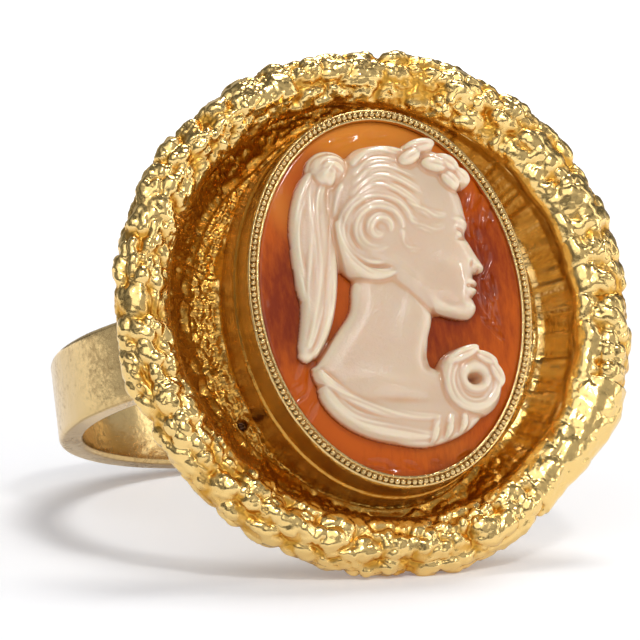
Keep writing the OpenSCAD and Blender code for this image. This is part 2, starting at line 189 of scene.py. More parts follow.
def corners(mesh):
    flat = np.empty(len(mesh.vertices) * 3, np.float32)
    mesh.vertices.foreach_get("co", flat)
    return flat.reshape(-1, 3).astype(float)


def store(mesh, points, marks):
    mesh.vertices.foreach_set("co", np.asarray(points, np.float32).ravel())
    for label, values in marks.items():
        mark = mesh.attributes.get(label) or mesh.attributes.new(label, "FLOAT", "POINT")
        mark.data.foreach_set("value", np.asarray(values, np.float32))


def close_up(mesh):
    """Merges what meets itself and turns the faces outwards."""
    bm = bmesh.new()
    bm.from_mesh(mesh)
    bmesh.ops.remove_doubles(bm, verts=bm.verts, dist=WELD)
    bmesh.ops.dissolve_degenerate(bm, edges=bm.edges, dist=WELD)
    bmesh.ops.recalc_face_normals(bm, faces=bm.faces)
    bm.to_mesh(mesh)
    bm.free()
    mesh.shade_smooth()


def piece_of(mesh, node):
    piece = bpy.data.objects.new(mesh.name, mesh)
    bpy.context.scene.collection.objects.link(piece)
    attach(piece, "root")
    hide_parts(node)
    print(piece.name, "has", len(mesh.polygons), "faces")
    return piece


def skin(name, across, along, place, node):
    """A grid moved by place(u, v), which gives points in the ring's frame and marks."""
    bm = bmesh.new()
    bmesh.ops.create_grid(bm, x_segments=across, y_segments=along, size=0.5)
    mesh = bpy.data.meshes.new(name)
    bm.to_mesh(mesh)
    bm.free()
    flat = corners(mesh) + 0.5
    points, marks = place(flat[:, 0], flat[:, 1])
    store(mesh, lay_down(points), marks)
    close_up(mesh)
    return piece_of(mesh, node)


# %% Places round the head
def head_point(angle, r, level):
    """A point at an angle in degrees round the head, at a radius and a level."""
    turn = np.radians(angle)
    return np.stack([r * np.cos(turn), -level * np.ones_like(turn), r * np.sin(turn)], axis=-1)


def oval_r(angle, off=0.0):
    """Radius of the oval that stands off the visible cameo, at an angle in degrees."""
    a, b, turn = OVAL_A + off, OVAL_B + off, np.radians(angle)
    return a * b / np.hypot(b * np.cos(turn), a * np.sin(turn))


def turn_from(angle, middle):
    """How many degrees an angle is away from another, at most 180."""
    return np.abs((angle - middle + 180) % 360 - 180)


def ease(value, low, high):
    """0 below low, 1 above high, and a smooth step between them."""
    share = np.clip((value - low) / (high - low), 0, 1)
    return share * share * (3 - 2 * share)


print("oval radius at the side and at the end:", oval_r(0.0), oval_r(90.0))

# %% [markdown]
# ## The nugget rim
# The rim was cast from wax that a maker covered with lumps, so it looks like gold
# nuggets run together. Real displacement is worth its faces here, because the lumps
# make the outline of the ring. Three sizes of domed lumps are cut into an elliptical
# tube: the large nuggets of the CAD solid, and on them grains and tiny seeds, for which
# the tube is built up a little first.

# %% Nuggets of the rim
RIM_FROM = -80
RIM_TO = 178
RIM_AROUND = 1000
RIM_ROWS = 78
RIM_HIDDEN_ROWS = 6
NUGGET_COLS = round(2 * pi * RIM_MID_R / NUGGET_W)
NUGGET_ROWS = round((RIM_TO - RIM_FROM) / 360 * pi * (RIM_W + RIM_T) / 2 / NUGGET_W)
GRAIN_PER_NUGGET = 2.1
SEED_PER_NUGGET = 5
GRAIN_H = 0.28
SEED_H = 0.09
BUILT_UP = 0.15
CREASE_OF_NUGGET, CREASE_OF_GRAIN, CREASE_OF_SEED = 0.4, 0.45, 0.2
# how the lumps sway: depth, cells per nugget
SWAY_BY, SWAY_CELLS = 0.16, 2.3
# where grains and seeds thrive: cells per nugget, pattern, from and to
GRAINY_PATCHES = (0.8, 51, 0.25, 0.7)
SEEDY_PATCHES = (1.2, 55, 0.35, 0.65)
# the smooth stretch at the lower right, and the polished inner edge
WORN_ANGLE, WORN_SPAN, WORN_TO, WORN_KEEP, WORN_GRAIN = -38, 17, 0.6, 0.3, 0.25
POLISHED_ACROSS = (0.72, 0.84)
POLISHED_ANGLE, POLISHED_SPAN = -8, (42, 60)
POLISH_ON_NUGGET, POLISH_ON_GRAIN = 0.5, 0.85
NUGGET_FADE, GRAIN_FADE = 6, 14
# angle in degrees: how far the rim swells out there, as a share of its width
RIM_SWELL = {
    -180: 0, -90: 0, -68: 0, -47: -0.14, -27: 0.08, 0: 0.04, 38: 0.15, 62: 0.08,
    90: -0.04, 122: -0.1, 150: -0.03, 180: 0,
}


def thriving(x, y, cells, pattern, low, high):
    """0 to 1: patches where fine lumps thrive, joined up round the ring."""
    return ease(wander(cells * x, cells * y, pattern, round(cells * NUGGET_COLS)), low, high)


def rim_cut(angle, across):
    """How deep the lumps of the rim are cut, in mm, and how far a place is in a crease."""
    x, y = angle / 360 * NUGGET_COLS, across * NUGGET_ROWS
    cols = round(SWAY_CELLS * NUGGET_COLS)
    sway = SWAY_BY * (wander(SWAY_CELLS * x, SWAY_CELLS * y, 21, cols) - 0.5)
    top = domes(x + sway, y - sway, 1, NUGGET_COLS)
    worn = turn_from(angle, WORN_ANGLE) < WORN_SPAN
    top = np.where(worn, WORN_TO + WORN_KEEP * (top - WORN_TO), top)
    cols = round(GRAIN_PER_NUGGET * NUGGET_COLS)
    grain_x, grain_y = cols * angle / 360 + 3 * sway, GRAIN_PER_NUGGET * y + 2 * sway
    grains = domes(grain_x, grain_y, 31, cols, 0.85, 0.56)
    cols, seed_y = SEED_PER_NUGGET * NUGGET_COLS, SEED_PER_NUGGET * y + 5 * sway
    seeds = domes(SEED_PER_NUGGET * x, seed_y, 41, cols, 0.9, 0.6)
    grainy, seedy = thriving(x, y, *GRAINY_PATCHES), thriving(x, y, *SEEDY_PATCHES)
    polished = ease(across, *POLISHED_ACROSS)
    polished = polished * (1 - ease(turn_from(angle, POLISHED_ANGLE), *POLISHED_SPAN))
    keep = np.where(worn, WORN_GRAIN, 1 - POLISH_ON_GRAIN * polished)
    grain_cut = GRAIN_H * (1 - grains) * (0.55 + 0.45 * grainy)
    seed_cut = SEED_H * (1 - seeds) * (0.25 + 0.75 * seedy)
    fine = (grain_cut + seed_cut) * keep - BUILT_UP
    crease = CREASE_OF_NUGGET * (1 - top) + CREASE_OF_GRAIN * (1 - grains) * keep
    crease = crease + CREASE_OF_SEED * (1 - seeds) * seedy * keep
    edge = np.minimum(across, 1 - across)
    fade, fine_fade = np.minimum(1, NUGGET_FADE * edge), np.minimum(1, GRAIN_FADE * edge)
    coarse = NUGGET_H * (1 - top) * (1 - POLISH_ON_NUGGET * polished)
    return coarse * fade + fine * fine_fade, crease * fine_fade


print("nuggets round the rim:", NUGGET_COLS, "in", NUGGET_ROWS, "rows")

# %% Rim wrapped round the head
RAGGED_BY, RAGGED_CELLS, RAGGED_FROM = 0.16, 46, 0.8


def rim_place(u, v):
    angle = 360 * u
    shown = RIM_ROWS / (RIM_ROWS + RIM_HIDDEN_ROWS)
    across = np.clip(v / shown, 0, 1)
    behind = np.clip((v - shown) / (1 - shown), 0, 1)
    tilt = np.radians(RIM_FROM + across * (RIM_TO - RIM_FROM) + behind * (360 + RIM_FROM - RIM_TO))
    cut, crease = rim_cut(angle, across)
    swell = RIM_W * np.interp((angle + 180) % 360 - 180, list(RIM_SWELL), list(RIM_SWELL.values()))
    edge = ease(across, RAGGED_FROM, 1) * (1 - behind)
    torn = wander(angle / 360 * RAGGED_CELLS, 0 * angle, 61, RAGGED_CELLS) - 0.5
    ragged = RAGGED_BY * edge * torn
    r = RIM_MID_R + (RIM_W / 2 - cut) * np.cos(tilt) + swell * (1 + np.cos(tilt)) / 2 + ragged
    level = RIM_MID_AT + (RIM_T / 2 - cut) * np.sin(tilt)
    # hollow marks how deep a place lies in a crease; the material paints shade there
    return head_point(angle, r, level), {"hollow": crease}


nugget_rim = skin(
    "nugget_rim", RIM_AROUND, RIM_ROWS + RIM_HIDDEN_ROWS, rim_place, "gold_mount"
)

# %% [markdown]
# ## The bowl, the channel and the bezel
# Behind the rim the head is a shallow bowl, and its front is a channel round the
# bezel. All of it was one casting, so it is one skin: a section that runs from the
# middle of the back to the well under the cameo, led round the head. The channel keeps
# the marks of its making: granules on the left, brushed ribs on the right, turned lines
# on the bezel's foot, and one small casting pit.

# %% Section of the bowl
BOWL_AROUND = 720
BEAD_R = 0.12
BEAD_OFF = 0.55 * BEZEL_T


def bowl_section(angle):
    """Rows of radius, level and number of steps to the next row, at each angle."""
    foot = np.maximum(CHANNEL_FOOT_R, oval_r(angle) + BEZEL_T + 2 * FOOT_STEP)
    foot_at = CHANNEL_AT + (foot - CHANNEL_FOOT_R) / WALL_LEAN * (RIM_MID_AT - CHANNEL_AT)
    rim_foot_at = RIM_MID_AT + RIM_T / 2 * sin(radians(RIM_FROM))
    inner = LIP_COVER + CLEARANCE
    rows = [
        (0, BACK_AT, 3),
        (0.44 * HEAD_R, BACK_AT, 3),
        (0.72 * HEAD_R, BACK_AT + 0.3 * (rim_foot_at - BACK_AT), 3),
        (0.88 * HEAD_R, BACK_AT + 0.75 * (rim_foot_at - BACK_AT), 2),
        (RIM_MID_R + RIM_W / 2 * cos(radians(RIM_FROM)), rim_foot_at, 1),
        (RIM_MID_R, RIM_MID_AT - 0.3, 1),
        (RIM_INNER_R + 0.06, RIM_MID_AT + 0.06, 26),
        (foot, foot_at, 20),
        (oval_r(angle) + BEZEL_T + FOOT_STEP, foot_at, 12),
        (oval_r(angle, BEZEL_T + FOOT_STEP), STEP_AT, 3),
        (oval_r(angle, BEZEL_T), STEP_AT + FOOT_STEP, 8),
        (oval_r(angle, BEZEL_T), LIP_AT - LIP_T, 2),
        (oval_r(angle, BEAD_OFF + 0.18), LIP_AT - 0.05, 1),
        (oval_r(angle, BEAD_OFF + 0.13), LIP_AT - 0.03, 1),
        (oval_r(angle, BEAD_OFF + 0.1), LIP_AT - 0.1, 1),
        (oval_r(angle, BEAD_OFF - 0.1), LIP_AT - 0.1, 1),
        (oval_r(angle, BEAD_OFF - 0.13), LIP_AT - 0.01, 1),
        (oval_r(angle, 0.15 * BEZEL_T), LIP_AT, 1),
        (oval_r(angle, 0.06 * BEZEL_T), LIP_AT - 0.03, 2),
        (oval_r(angle), LIP_AT - LIP_T, 1),
        (oval_r(angle, inner), LIP_AT - LIP_T, 1),
        (oval_r(angle, inner), SEAT_AT, 1),
        (oval_r(angle, LIP_COVER - LEDGE_W), SEAT_AT, 1),
        (oval_r(angle, LIP_COVER - LEDGE_W), WELL_AT, 1),
        (0, WELL_AT, 0),
    ]
    return [(r + 0 * angle, level + 0 * angle, steps) for r, level, steps in rows]


WALL_ROW, FLOOR_ROW, COLLAR_ROW, STEP_ROW, BEZEL_ROW, GROOVE_ROW, INNER_ROW = 6, 7, 8, 9, 10, 13, 17
BOWL_ROWS = sum(steps for _, _, steps in bowl_section(np.zeros(1)))
print("rows of the bowl's section:", BOWL_ROWS)

# %% Marks in the channel
PIT_ANGLE, PIT_DEEP = 216, 0.9
PIT_EDGE = (0.35, 0.6)
RIB_ANGLE, RIB_SPAN = 12, (48, 80)
FINE_RIB, BROAD_RIB, RIB_H = 0.16, 0.62, 0.32
CELL_OF_LUMP = 0.5
WALL_LUMP_H, WALL_GRANULE_H = 0.26, 0.14
FLOOR_LUMP_H, FLOOR_GRANULE_H, FLOOR_GRANULE_LESS = 0.2, 0.16, 0.06
CHURNED_ANGLE, CHURNED_SPAN, CHURNED_H = -44, (10, 16), 0.15
TURNED_LINES, TURNED_H, TURNED_WEAR = 4, 0.018, 0.012
FULL_HOLLOW = 0.2


def rib_share(angle):
    """1 on the ribbed right side of the channel, 0 on its grainy left side."""
    return 1 - ease(turn_from(angle, RIB_ANGLE), *RIB_SPAN)


def channel_cut(angle, r, row, share):
    """Depth of the granules, ribs and turned lines at a place of the channel, in mm."""
    arc = angle / 360 * 2 * pi * CHANNEL_FOOT_R
    cols = round(2 * pi * CHANNEL_FOOT_R / CELL_OF_LUMP)
    x, y = angle / 360 * cols, r / CELL_OF_LUMP
    right = rib_share(angle)
    lump = wander(x, y, 71, cols)
    granule = domes(2 * x, 2 * y, 81, 2 * cols, 0.9)
    ribs = wander(arc / FINE_RIB + 0.6 * lump, 0.5 * y, 91)
    ribs = 0.45 * ribs + 0.55 * wander(arc / BROAD_RIB, 0.35 * y, 95)
    grainy = WALL_LUMP_H * (1 - lump) + WALL_GRANULE_H * (1 - granule)
    wall = right * RIB_H * ribs + (1 - right) * grainy
    floor = FLOOR_LUMP_H * (1 - lump)
    floor = floor + (FLOOR_GRANULE_H - FLOOR_GRANULE_LESS * right) * (1 - granule)
    churned = 1 - ease(turn_from(angle, CHURNED_ANGLE), *CHURNED_SPAN)
    floor = floor + churned * CHURNED_H * wander(3 * x, 3 * y, 97)
    collar = TURNED_H * (0.5 + 0.5 * np.cos(2 * pi * TURNED_LINES * share))
    collar = collar + TURNED_WEAR * wander(2 * x, 6 * share, 99)
    fade = np.minimum(1, 5 * np.minimum(share, 1 - share))
    cut = np.where(row == WALL_ROW, wall * fade, 0)
    cut = np.where(row == FLOOR_ROW, floor * np.minimum(1, 4 * (1 - share)), cut)
    return np.where((row >= COLLAR_ROW) & (row <= BEZEL_ROW), collar * fade, cut)


def bowl_place(u, v):
    angle = 360 * u
    section = bowl_section(angle)
    starts = np.cumsum([0] + [steps for _, _, steps in section[:-1]])
    at = np.rint(v * BOWL_ROWS)
    row = np.clip(np.searchsorted(starts, at, side="right") - 1, 0, len(section) - 2)
    share = (at - starts[row]) / np.array([steps for _, _, steps in section])[row]
    near = np.arange(len(angle))
    radii = np.array([r for r, _, _ in section])
    levels = np.array([level for _, level, _ in section])
    r = radii[row, near] * (1 - share) + radii[row + 1, near] * share
    level = levels[row, near] * (1 - share) + levels[row + 1, near] * share
    cut = channel_cut(angle, r, row, share)
    slanted = np.where(row == WALL_ROW, 0.7 * cut, 0)
    r = r + slanted - np.where(row >= COLLAR_ROW, cut, 0)
    level = level - slanted - np.where(row == FLOOR_ROW, cut, 0)
    pit_r = oval_r(PIT_ANGLE) + BEZEL_T + FOOT_STEP + PIT_D
    turn, pit_turn = np.radians(angle), radians(PIT_ANGLE)
    off_x = r * np.cos(turn) - pit_r * cos(pit_turn)
    off_z = r * np.sin(turn) - pit_r * sin(pit_turn)
    pit = 1 - ease(np.hypot(off_x, off_z), PIT_EDGE[0] * PIT_D, PIT_EDGE[1] * PIT_D)
    pit = pit * ((row == WALL_ROW) | (row == FLOOR_ROW))
    level = level - pit * PIT_DEEP * FLOOR_T
    # painted shade: the channel's gold is darker than the bowl's, most on its grainy left side
    channel = np.where((row >= WALL_ROW) & (row <= BEZEL_ROW), 1 - 0.55 * rib_share(angle), 0.0)
    # hollow: painted shade in the cuts, the pit and the corners of the step and the groove
    corner = ((row >= GROOVE_ROW) & (row < INNER_ROW)) | (row == STEP_ROW)
    hollow = np.clip(cut / FULL_HOLLOW + pit + 1.5 * corner, 0, 1)
    return head_point(angle, r, level), {"hollow": hollow, "channel": channel, "pit": pit}


bowl = skin("bowl", BOWL_AROUND, BOWL_ROWS, bowl_place, "gold_mount")

# %% [markdown]
# ## The beaded edge
# A setter rolls a milgrain wheel along the lip, which leaves a row of tiny beads
# between two fine lines. The beads are small spheres of a few dozen faces each, joined
# in one mesh, spaced evenly along the oval by its real length and not by its angle.

# %% Milgrain beads
BEAD_PITCH = 0.235
BEAD_PROUD = 0.07
BEAD_WIDE = (0.92, 0.16)
BEAD_AROUND, BEAD_ROWS = 8, 6


def even_angles(off, pitch):
    """Angles in degrees that divide an oval into equal steps of about the pitch."""
    fine = np.linspace(0, 360, 7201)
    r = oval_r(fine, off)
    line = np.stack([r * np.cos(np.radians(fine)), r * np.sin(np.radians(fine))], axis=-1)
    length = np.concatenate([[0], np.cumsum(np.linalg.norm(np.diff(line, axis=0), axis=1))])
    count = round(length[-1] / pitch)
    return np.interp(np.arange(count) / count * length[-1], length, fine)


def make_beads():
    bm = bmesh.new()
    for k, angle in enumerate(even_angles(BEAD_OFF, BEAD_PITCH)):
        wide = BEAD_WIDE[0] + BEAD_WIDE[1] * chance(k, 1, 5)
        level = LIP_AT + BEAD_PROUD - BEAD_R
        middle = head_point(np.array(angle), oval_r(angle, BEAD_OFF), level)
        place = Matrix.Translation(middle.tolist()) @ Matrix.Diagonal((wide, 1, wide, 1))
        bmesh.ops.create_uvsphere(
            bm, u_segments=BEAD_AROUND, v_segments=BEAD_ROWS, radius=BEAD_R, matrix=place
        )
    mesh = bpy.data.meshes.new("milgrain_beads")
    bm.to_mesh(mesh)
    bm.free()
    store(mesh, lay_down(corners(mesh)), {})
    close_up(mesh)
    return piece_of(mesh, "gold_mount")


milgrain_beads = make_beads()

# %% [markdown]
# ## The band
# The band is a flat strip bent into a hoop. Its section is a rectangle with rounded
# edges, spun once round the finger. Wear has made its face a little uneven, so the
# corners are then pushed in by a few hundredths of a millimetre, which breaks up the
# reflections as on the real ring.

# %% Spun band
BAND_STEPS = 320
EDGE_STEPS = 5
FACE_STEPS = 14
# depth in mm, waves round the band, height of a wave in mm, pattern
BAND_WAVES = [(0.035, 34, 1.6, 101), (0.012, 120, 0.5, 103)]
# how much narrower the band is in places, as a share, places round it, pattern
BAND_PINCH, PINCH_COLS, PINCH_PATTERN = 0.02, 26, 107


def band_section():
    """Corners of the band's section: radius and height, counter-clockwise."""
    half, turns = BAND_W / 2 - BAND_EDGE_R, [0, 90, 180, 270]
    middles = [(BAND_R - BAND_EDGE_R, half), (FINGER_R + BAND_EDGE_R, half)]
    middles += [(FINGER_R + BAND_EDGE_R, -half), (BAND_R - BAND_EDGE_R, -half)]
    rounded = []
    for (r, z), start in zip(middles, turns):
        for k in range(EDGE_STEPS + 1):
            turn = radians(start + 90 * k / EDGE_STEPS)
            rounded.append((r + BAND_EDGE_R * cos(turn), z + BAND_EDGE_R * sin(turn)))
    return rounded


def worn_band(points):
    """The band's corners, pushed in where wear has flattened or dented the face."""
    x, y, z = points.T
    r, angle = np.hypot(x, y), np.degrees(np.arctan2(y, x)) % 360
    outer = ease(r, BAND_R - 1.2 * BAND_EDGE_R, BAND_R - 0.2 * BAND_EDGE_R)
    inner = 1 - ease(r, FINGER_R, FINGER_R + BAND_EDGE_R)
    waves = sum(
        depth * wander(angle / 360 * cols, z / high, pattern, cols)
        for depth, cols, high, pattern in BAND_WAVES
    )
    shrunk = r - outer * waves + inner * 0.5 * waves
    pinch = 1 - BAND_PINCH * wander(angle / 360 * PINCH_COLS, 0 * z, PINCH_PATTERN, PINCH_COLS)
    return np.stack([x * shrunk / r, y * shrunk / r, z * pinch], axis=-1)


def make_band():
    bm = bmesh.new()
    section = [bm.verts.new((r, 0, z)) for r, z in band_section()]
    for here, after in zip(section, section[1:] + section[:1]):
        bm.edges.new((here, after))
    faces = [e for e in bm.edges if e.calc_length() > BAND_T / 2]
    bmesh.ops.subdivide_edges(bm, edges=faces, cuts=FACE_STEPS)
    bmesh.ops.spin(
        bm, geom=bm.verts[:] + bm.edges[:], cent=(0, 0, 0), axis=(0, 0, 1),
        angle=2 * pi, steps=BAND_STEPS, use_merge=True,
    )
    mesh = bpy.data.meshes.new("band")
    bm.to_mesh(mesh)
    bm.free()
    store(mesh, lay_down(worn_band(corners(mesh))), {})
    close_up(mesh)
    return piece_of(mesh, "gold_mount")


band = make_band()

# %% [markdown]
# ## The orange ground
# The lower layer of the shell is an oval lens: a flat back, a short side under the
# lip, and a low dome. The carver took the cream layer away with small gravers, so the
# ground has shallow scoops, most of them between the figure and the bezel, where there
# was least room to polish them out. The shell is darker in some places than in others,
# and a mark on the mesh tells the material where.

# %% Scoops in the ground
SCOOP_SEED = 7
# middle u and v, spread u and v, number, usual turn in degrees
SCOOP_FIELDS = [
    (4.15, 2.6, 0.5, 1.7, 15, 75),
    (4.25, -0.9, 0.5, 1.4, 11, 100),
    (-4.1, -3.6, 0.35, 1.0, 7, 55),
    (-1.2, 6.5, 1.6, 0.2, 5, 5),
    (0.6, -6.6, 2.6, 0.25, 7, 0),
]
SCOOP_LONG, SCOOP_WIDE, SCOOP_DEEP = (0.3, 0.75), (0.09, 0.2), (0.05, 0.12)
SCOOP_TURN = 28
# depth, size along u and v in mm, pattern
GROUND_WAVES = [(0.018, 0.9, 0.9, 111), (0.004, 0.2, 0.35, 113)]
# middle u and v, spread u and v in mm, how dark (+) or light (-) the shell is there
GROUND_SHADES = [
    (-4.6, -0.4, 1.2, 3.0, 0.8),
    (3.9, 0.9, 1.4, 2.8, 1.0),
    (2.0, -1.4, 1.2, 1.2, 0.5),
    (0.0, 6.4, 4.5, 1.3, -1.0),
    (-4.0, 3.6, 0.9, 1.6, -0.6),
    (-3.4, -4.4, 1.6, 1.6, -0.45),
    (1.5, -6.2, 4.0, 0.9, -0.15),
]


def ground_shade(u, v):
    shade = np.zeros_like(u)
    for mid_u, mid_v, spread_u, spread_v, dark in GROUND_SHADES:
        shade += dark * np.exp(-((u - mid_u) / spread_u) ** 2 - ((v - mid_v) / spread_v) ** 2)
    return shade


def scoops():
    """Middle u and v, half-length, half-width, turn and depth of each scoop, in mm."""
    rng = np.random.default_rng(SCOOP_SEED)
    rows = []
    for u, v, spread_u, spread_v, count, usual in SCOOP_FIELDS:
        for _ in range(count):
            place = (u + rng.uniform(-1, 1) * spread_u, v + rng.uniform(-1, 1) * spread_v)
            size = (rng.uniform(*SCOOP_LONG), rng.uniform(*SCOOP_WIDE))
            turn = radians(usual + rng.uniform(-SCOOP_TURN, SCOOP_TURN))
            rows.append((*place, *size, turn, rng.uniform(*SCOOP_DEEP)))
    return rows


def ground_cut(u, v):
    """Depth of the scoops and of the faint unevenness of the ground, in mm."""
    deepest = np.zeros_like(u)
    for mid_u, mid_v, long, wide, turn, depth in scoops():
        along = (u - mid_u) * cos(turn) + (v - mid_v) * sin(turn)
        aside = (v - mid_v) * cos(turn) - (u - mid_u) * sin(turn)
        share = np.clip(1 - (along / long) ** 2 - (aside / wide) ** 2, 0, 1)
        deepest = np.maximum(deepest, depth * share)
    for depth, size_u, size_v, pattern in GROUND_WAVES:
        deepest = deepest + depth * wander(u / size_u, v / size_v, pattern)
    return deepest


print(len(scoops()), "scoops in the ground")

# %% Domed lens
GROUND_AROUND = 420
DOME_ROWS = 84
SIDE_ROWS = 4


def dome_level(u, v):
    return DOME_AT + np.sqrt(DOME_R ** 2 - u ** 2 - v ** 2)


def ground_place(u, v):
    angle, row = 360 * u, np.rint(v * (DOME_ROWS + SIDE_ROWS))
    edge, top = oval_r(angle, LIP_COVER), oval_r(angle, -CLEARANCE)
    share = np.clip(1 - (row - SIDE_ROWS) / DOME_ROWS, 0, 1)
    r = np.select([row == 0, row <= 2, row == 3], [0 * edge, edge, edge], top * share)
    x, z = r * np.cos(np.radians(angle)), r * np.sin(np.radians(angle))
    domed = dome_level(x, z) - ground_cut(x, z)
    rim = np.minimum(GIRDLE_AT, domed)
    level = np.select([row <= 1, row <= 3], [GIRDLE_AT - GROUND_T + 0 * edge, rim], domed)
    return head_point(angle, r, level), {"shade": ground_shade(x, z)}


shell_ground = skin(
    "shell_ground", GROUND_AROUND, DOME_ROWS + SIDE_ROWS, ground_place,
    "cameo_ground",
)

# %% [markdown]
# ## The carved bust
# The upper, cream layer of the shell is carved in low relief. A carver works on it as
# on a map of heights, so it is made here in the same way: soft cushions for the head
# and the shoulders, ridges along curves for hair and drapery, and small dents for the
# face. The large forms are in the same places as in the CAD solid, and the finer
# strands and the dents are added here. Places are in percent of the cameo's
# half-width and half-height, sizes in percent of its half-width, and heights in
# percent of the relief.

# %% Outlines of the head and the bust
HEAD_OUTLINE = [
    (50, 70), (35, 78), (9, 82), (-17, 76.5), (-35, 60), (-40, 37), (-31, 17), (-11, 12),
    (6, 1), (22, -10), (37, -14.5), (51, -16.7), (58, -15.3), (61.7, -11), (60.6, -5),
    (64.7, -1.2), (62.8, 0.9), (65.8, 2.8), (62.8, 5.4), (63.2, 8.2), (70, 9.5),
    (72.5, 11.5), (71.5, 14), (65.5, 22), (61, 30.5), (63.5, 35.5), (63, 42.5),
    (61.5, 52.5), (57, 62),
]
BUST_OUTLINE = [
    (6, 14), (-22, 17), (-32.5, 6), (-37, -8.5), (-50, -21), (-65, -35.5), (-70, -40.5),
    (-58, -57), (-41, -71.5), (-17, -81.5), (5, -85.5), (22, -84.5), (43, -79), (58, -70),
    (67, -58), (62, -46), (26, -43), (20, -38), (21.5, -27), (26, -10),
]
# outline, middle u and v, height
CUSHIONS = [(HEAD_OUTLINE, 22, 32, 82), (BUST_OUTLINE, -8, -41, 58)]
# u, v, half-width, half-height, turn, height
PADS = [
    (-2, 46.5, 43, 50, 0, 90),
    (-38, 70.5, 16, 14, 15, 66),
    (45, 70, 21, 11, -42, 82),
    (50, -50, 21, 21, 0, 80),
]
print(len(CUSHIONS), "cushions and", len(PADS), "pads")

# %% Hair, drapery and leaves
# u and v of the curl's middle, start and end radius, start and end angle, width,
# height, foot
CURLS = [
    (-11, 35, 26, 24, 5, 285, 8.5, 9, 60),
    (-11, 35, 17.5, 16, 0, 290, 8.5, 9, 60),
    (-11, 35, 9, 5, -20, 290, 8, 9, 60),
    (50, -51, 19, 17, 95, 375, 12, 14, 60),
]
# u and v of the start, of two pulls and of the end, then width, height, foot
FLOWS = [
    # the long tress down the nape
    (-40, 69, -68, 46, -43, 4, -73, -31, 26, 22, 30),
    (-46, 73, -72, 55, -68, 25, -69, 0, 9, 10, 34),
    (-42, 66, -66, 44, -47, 8, -72, -27, 8, 8, 46),
    (-33, 62, -56, 40, -36, 6, -68, -31, 9, 10, 38),
    # round the bun
    (-53, 66, -52, 81, -33, 84, -24, 75, 8, 10, 20),
    (-45, 66, -43, 75, -35, 76, -30, 69, 7, 10, 20),
    # the crown's combed strands
    (-21, 73, -8, 82, 12, 82, 32, 73, 8.5, 9, 60),
    (-23, 67, -8, 78, 14, 77, 38, 66, 8.5, 9, 60),
    (-25, 61, -8, 73, 14, 72, 38, 58, 8.5, 9, 60),
    (-28, 55, -10, 68, 12, 67, 31, 51, 8.5, 9, 60),
    (-31, 48, -16, 63, 8, 62, 25, 44, 8.5, 9, 60),
    # waves from the curl to the brow
    (14, 50, 24, 44, 28, 40, 42, 41, 8, 9, 78),
    (13, 41, 20, 33, 28, 31, 40, 35, 8, 8, 78),
    # under the curl, towards the ear
    (-39, 40, -38, 14, -22, 5, 4, 13, 8, 8, 60),
    (6, 33, 8, 24, 10, 20, 20, 22, 7, 8, 76),
    # hems of the drapery
    (-66, -42, -50, -60, -22, -69, 20, -70, 8, 10, 50),
    (-62, -51, -49, -68, -22, -77, 17, -79, 13, 14, 42),
    (20, -69, 17, -74, 17, -79, 15, -83, 6, 12, 45),
    (30, -69, 29, -74, 28, -78, 26, -81, 6, 12, 45),
    (40, -68, 41, -72, 40, -75, 38, -78, 6, 12, 45),
]
# u, v, turn, length, width, height
LEAVES = [
    (32, 82, 10, 27, 13, 88),
    (51, 71, -38, 21, 14, 96),
    (61, 63, -58, 17, 12, 92),
    (22, 75, 25, 20, 11, 96),
    (40, 70, -15, 20, 12, 100),
    (51, 61, -48, 18, 12, 96),
    (43, -37, 22, 30, 11, 84),
    (61, -40, -28, 22, 11, 80),
    (68, -48, -62, 22, 11, 80),
]
# soft swellings (+) and dents (-): u, v, half-width, half-height, turn, height
MODELLING = [
    # the face: brow, socket, eyeball, lid lines, cheek, nose, lips and chin
    (55, 37.5, 8, 2.6, -12, 4),
    (55, 29.5, 7, 4.2, -6, -8),
    (53, 29.8, 4.2, 2.4, -4, 9),
    (53.5, 32.6, 5.2, 0.8, -10, -5),
    (53, 27.0, 4.6, 0.7, 8, -4),
    (42, 14, 15, 13, 0, 5),
    (62, 12.5, 3.4, 2.8, 0, 4),
    (58.6, 13, 1.3, 3.0, -16, -4),
    (66.2, 10.2, 1.6, 0.9, 0, -10),
    (60.5, 3.4, 5.0, 1.8, -8, 6),
    (59.5, -1.4, 4.6, 1.8, 6, 6),
    (60.5, 1.1, 5.6, 0.7, 0, -12),
    (54.2, 1.0, 1.5, 1.3, 0, -5),
    (59, -5.0, 4.2, 1.6, 0, -6),
    (56, -10.8, 6, 4.5, 0, 4),
    (36, -6, 12, 5, -24, -3),
    # neck, collar bones and the fall of the shoulder
    (6, -10, 7, 30, -24, 2),
    (16, -38, 7, 12, -10, -4),
    (-16, -48, 26, 9, -8, 4),
    (-8, -60, 30, 6, -6, -5),
    # hollow heart of the rosette
    (51, -50.5, 7, 5.5, 0, -34),
]
print(len(CURLS) + len(FLOWS), "carved strands and", len(LEAVES), "leaves")

# %% [markdown]
# ### From tables to heights
# The heights are worked out on a fine raster. A cushion is rounded along its outline,
# over a fixed width, and a little fuller in its middle. A strand lies along a curve:
# each place near the curve looks up its distance from it, and takes a rounded section
# with fine hair lines. The highest form wins at each place, with a soft fillet where
# two forms meet, and a light blur then does what polishing does to a carving.

# %% Raster of the relief
RASTER = 0.02
HALF_U, HALF_V = 4.5, 6.6
raster_u, raster_v = np.meshgrid(
    np.arange(-HALF_U, HALF_U, RASTER), np.arange(-HALF_V, HALF_V, RASTER), indexing="ij"
)
NOTHING = -0.3
ROUND = 2.3
EDGE_W = 0.8
FILLET, PAD_FILLET, STRAND_FILLET = 0.5, 0.12, 0.06
OUTLINE_STEPS = 10
EDGE_SWELL = 0.78
OUTER_FALL = 4


def spot(u, v):
    return np.array([u / 100 * OVAL_A, v / 100 * OVAL_B])


def span(share):
    return share / 100 * OVAL_A


def rise(share):
    return share / 100 * RELIEF_H


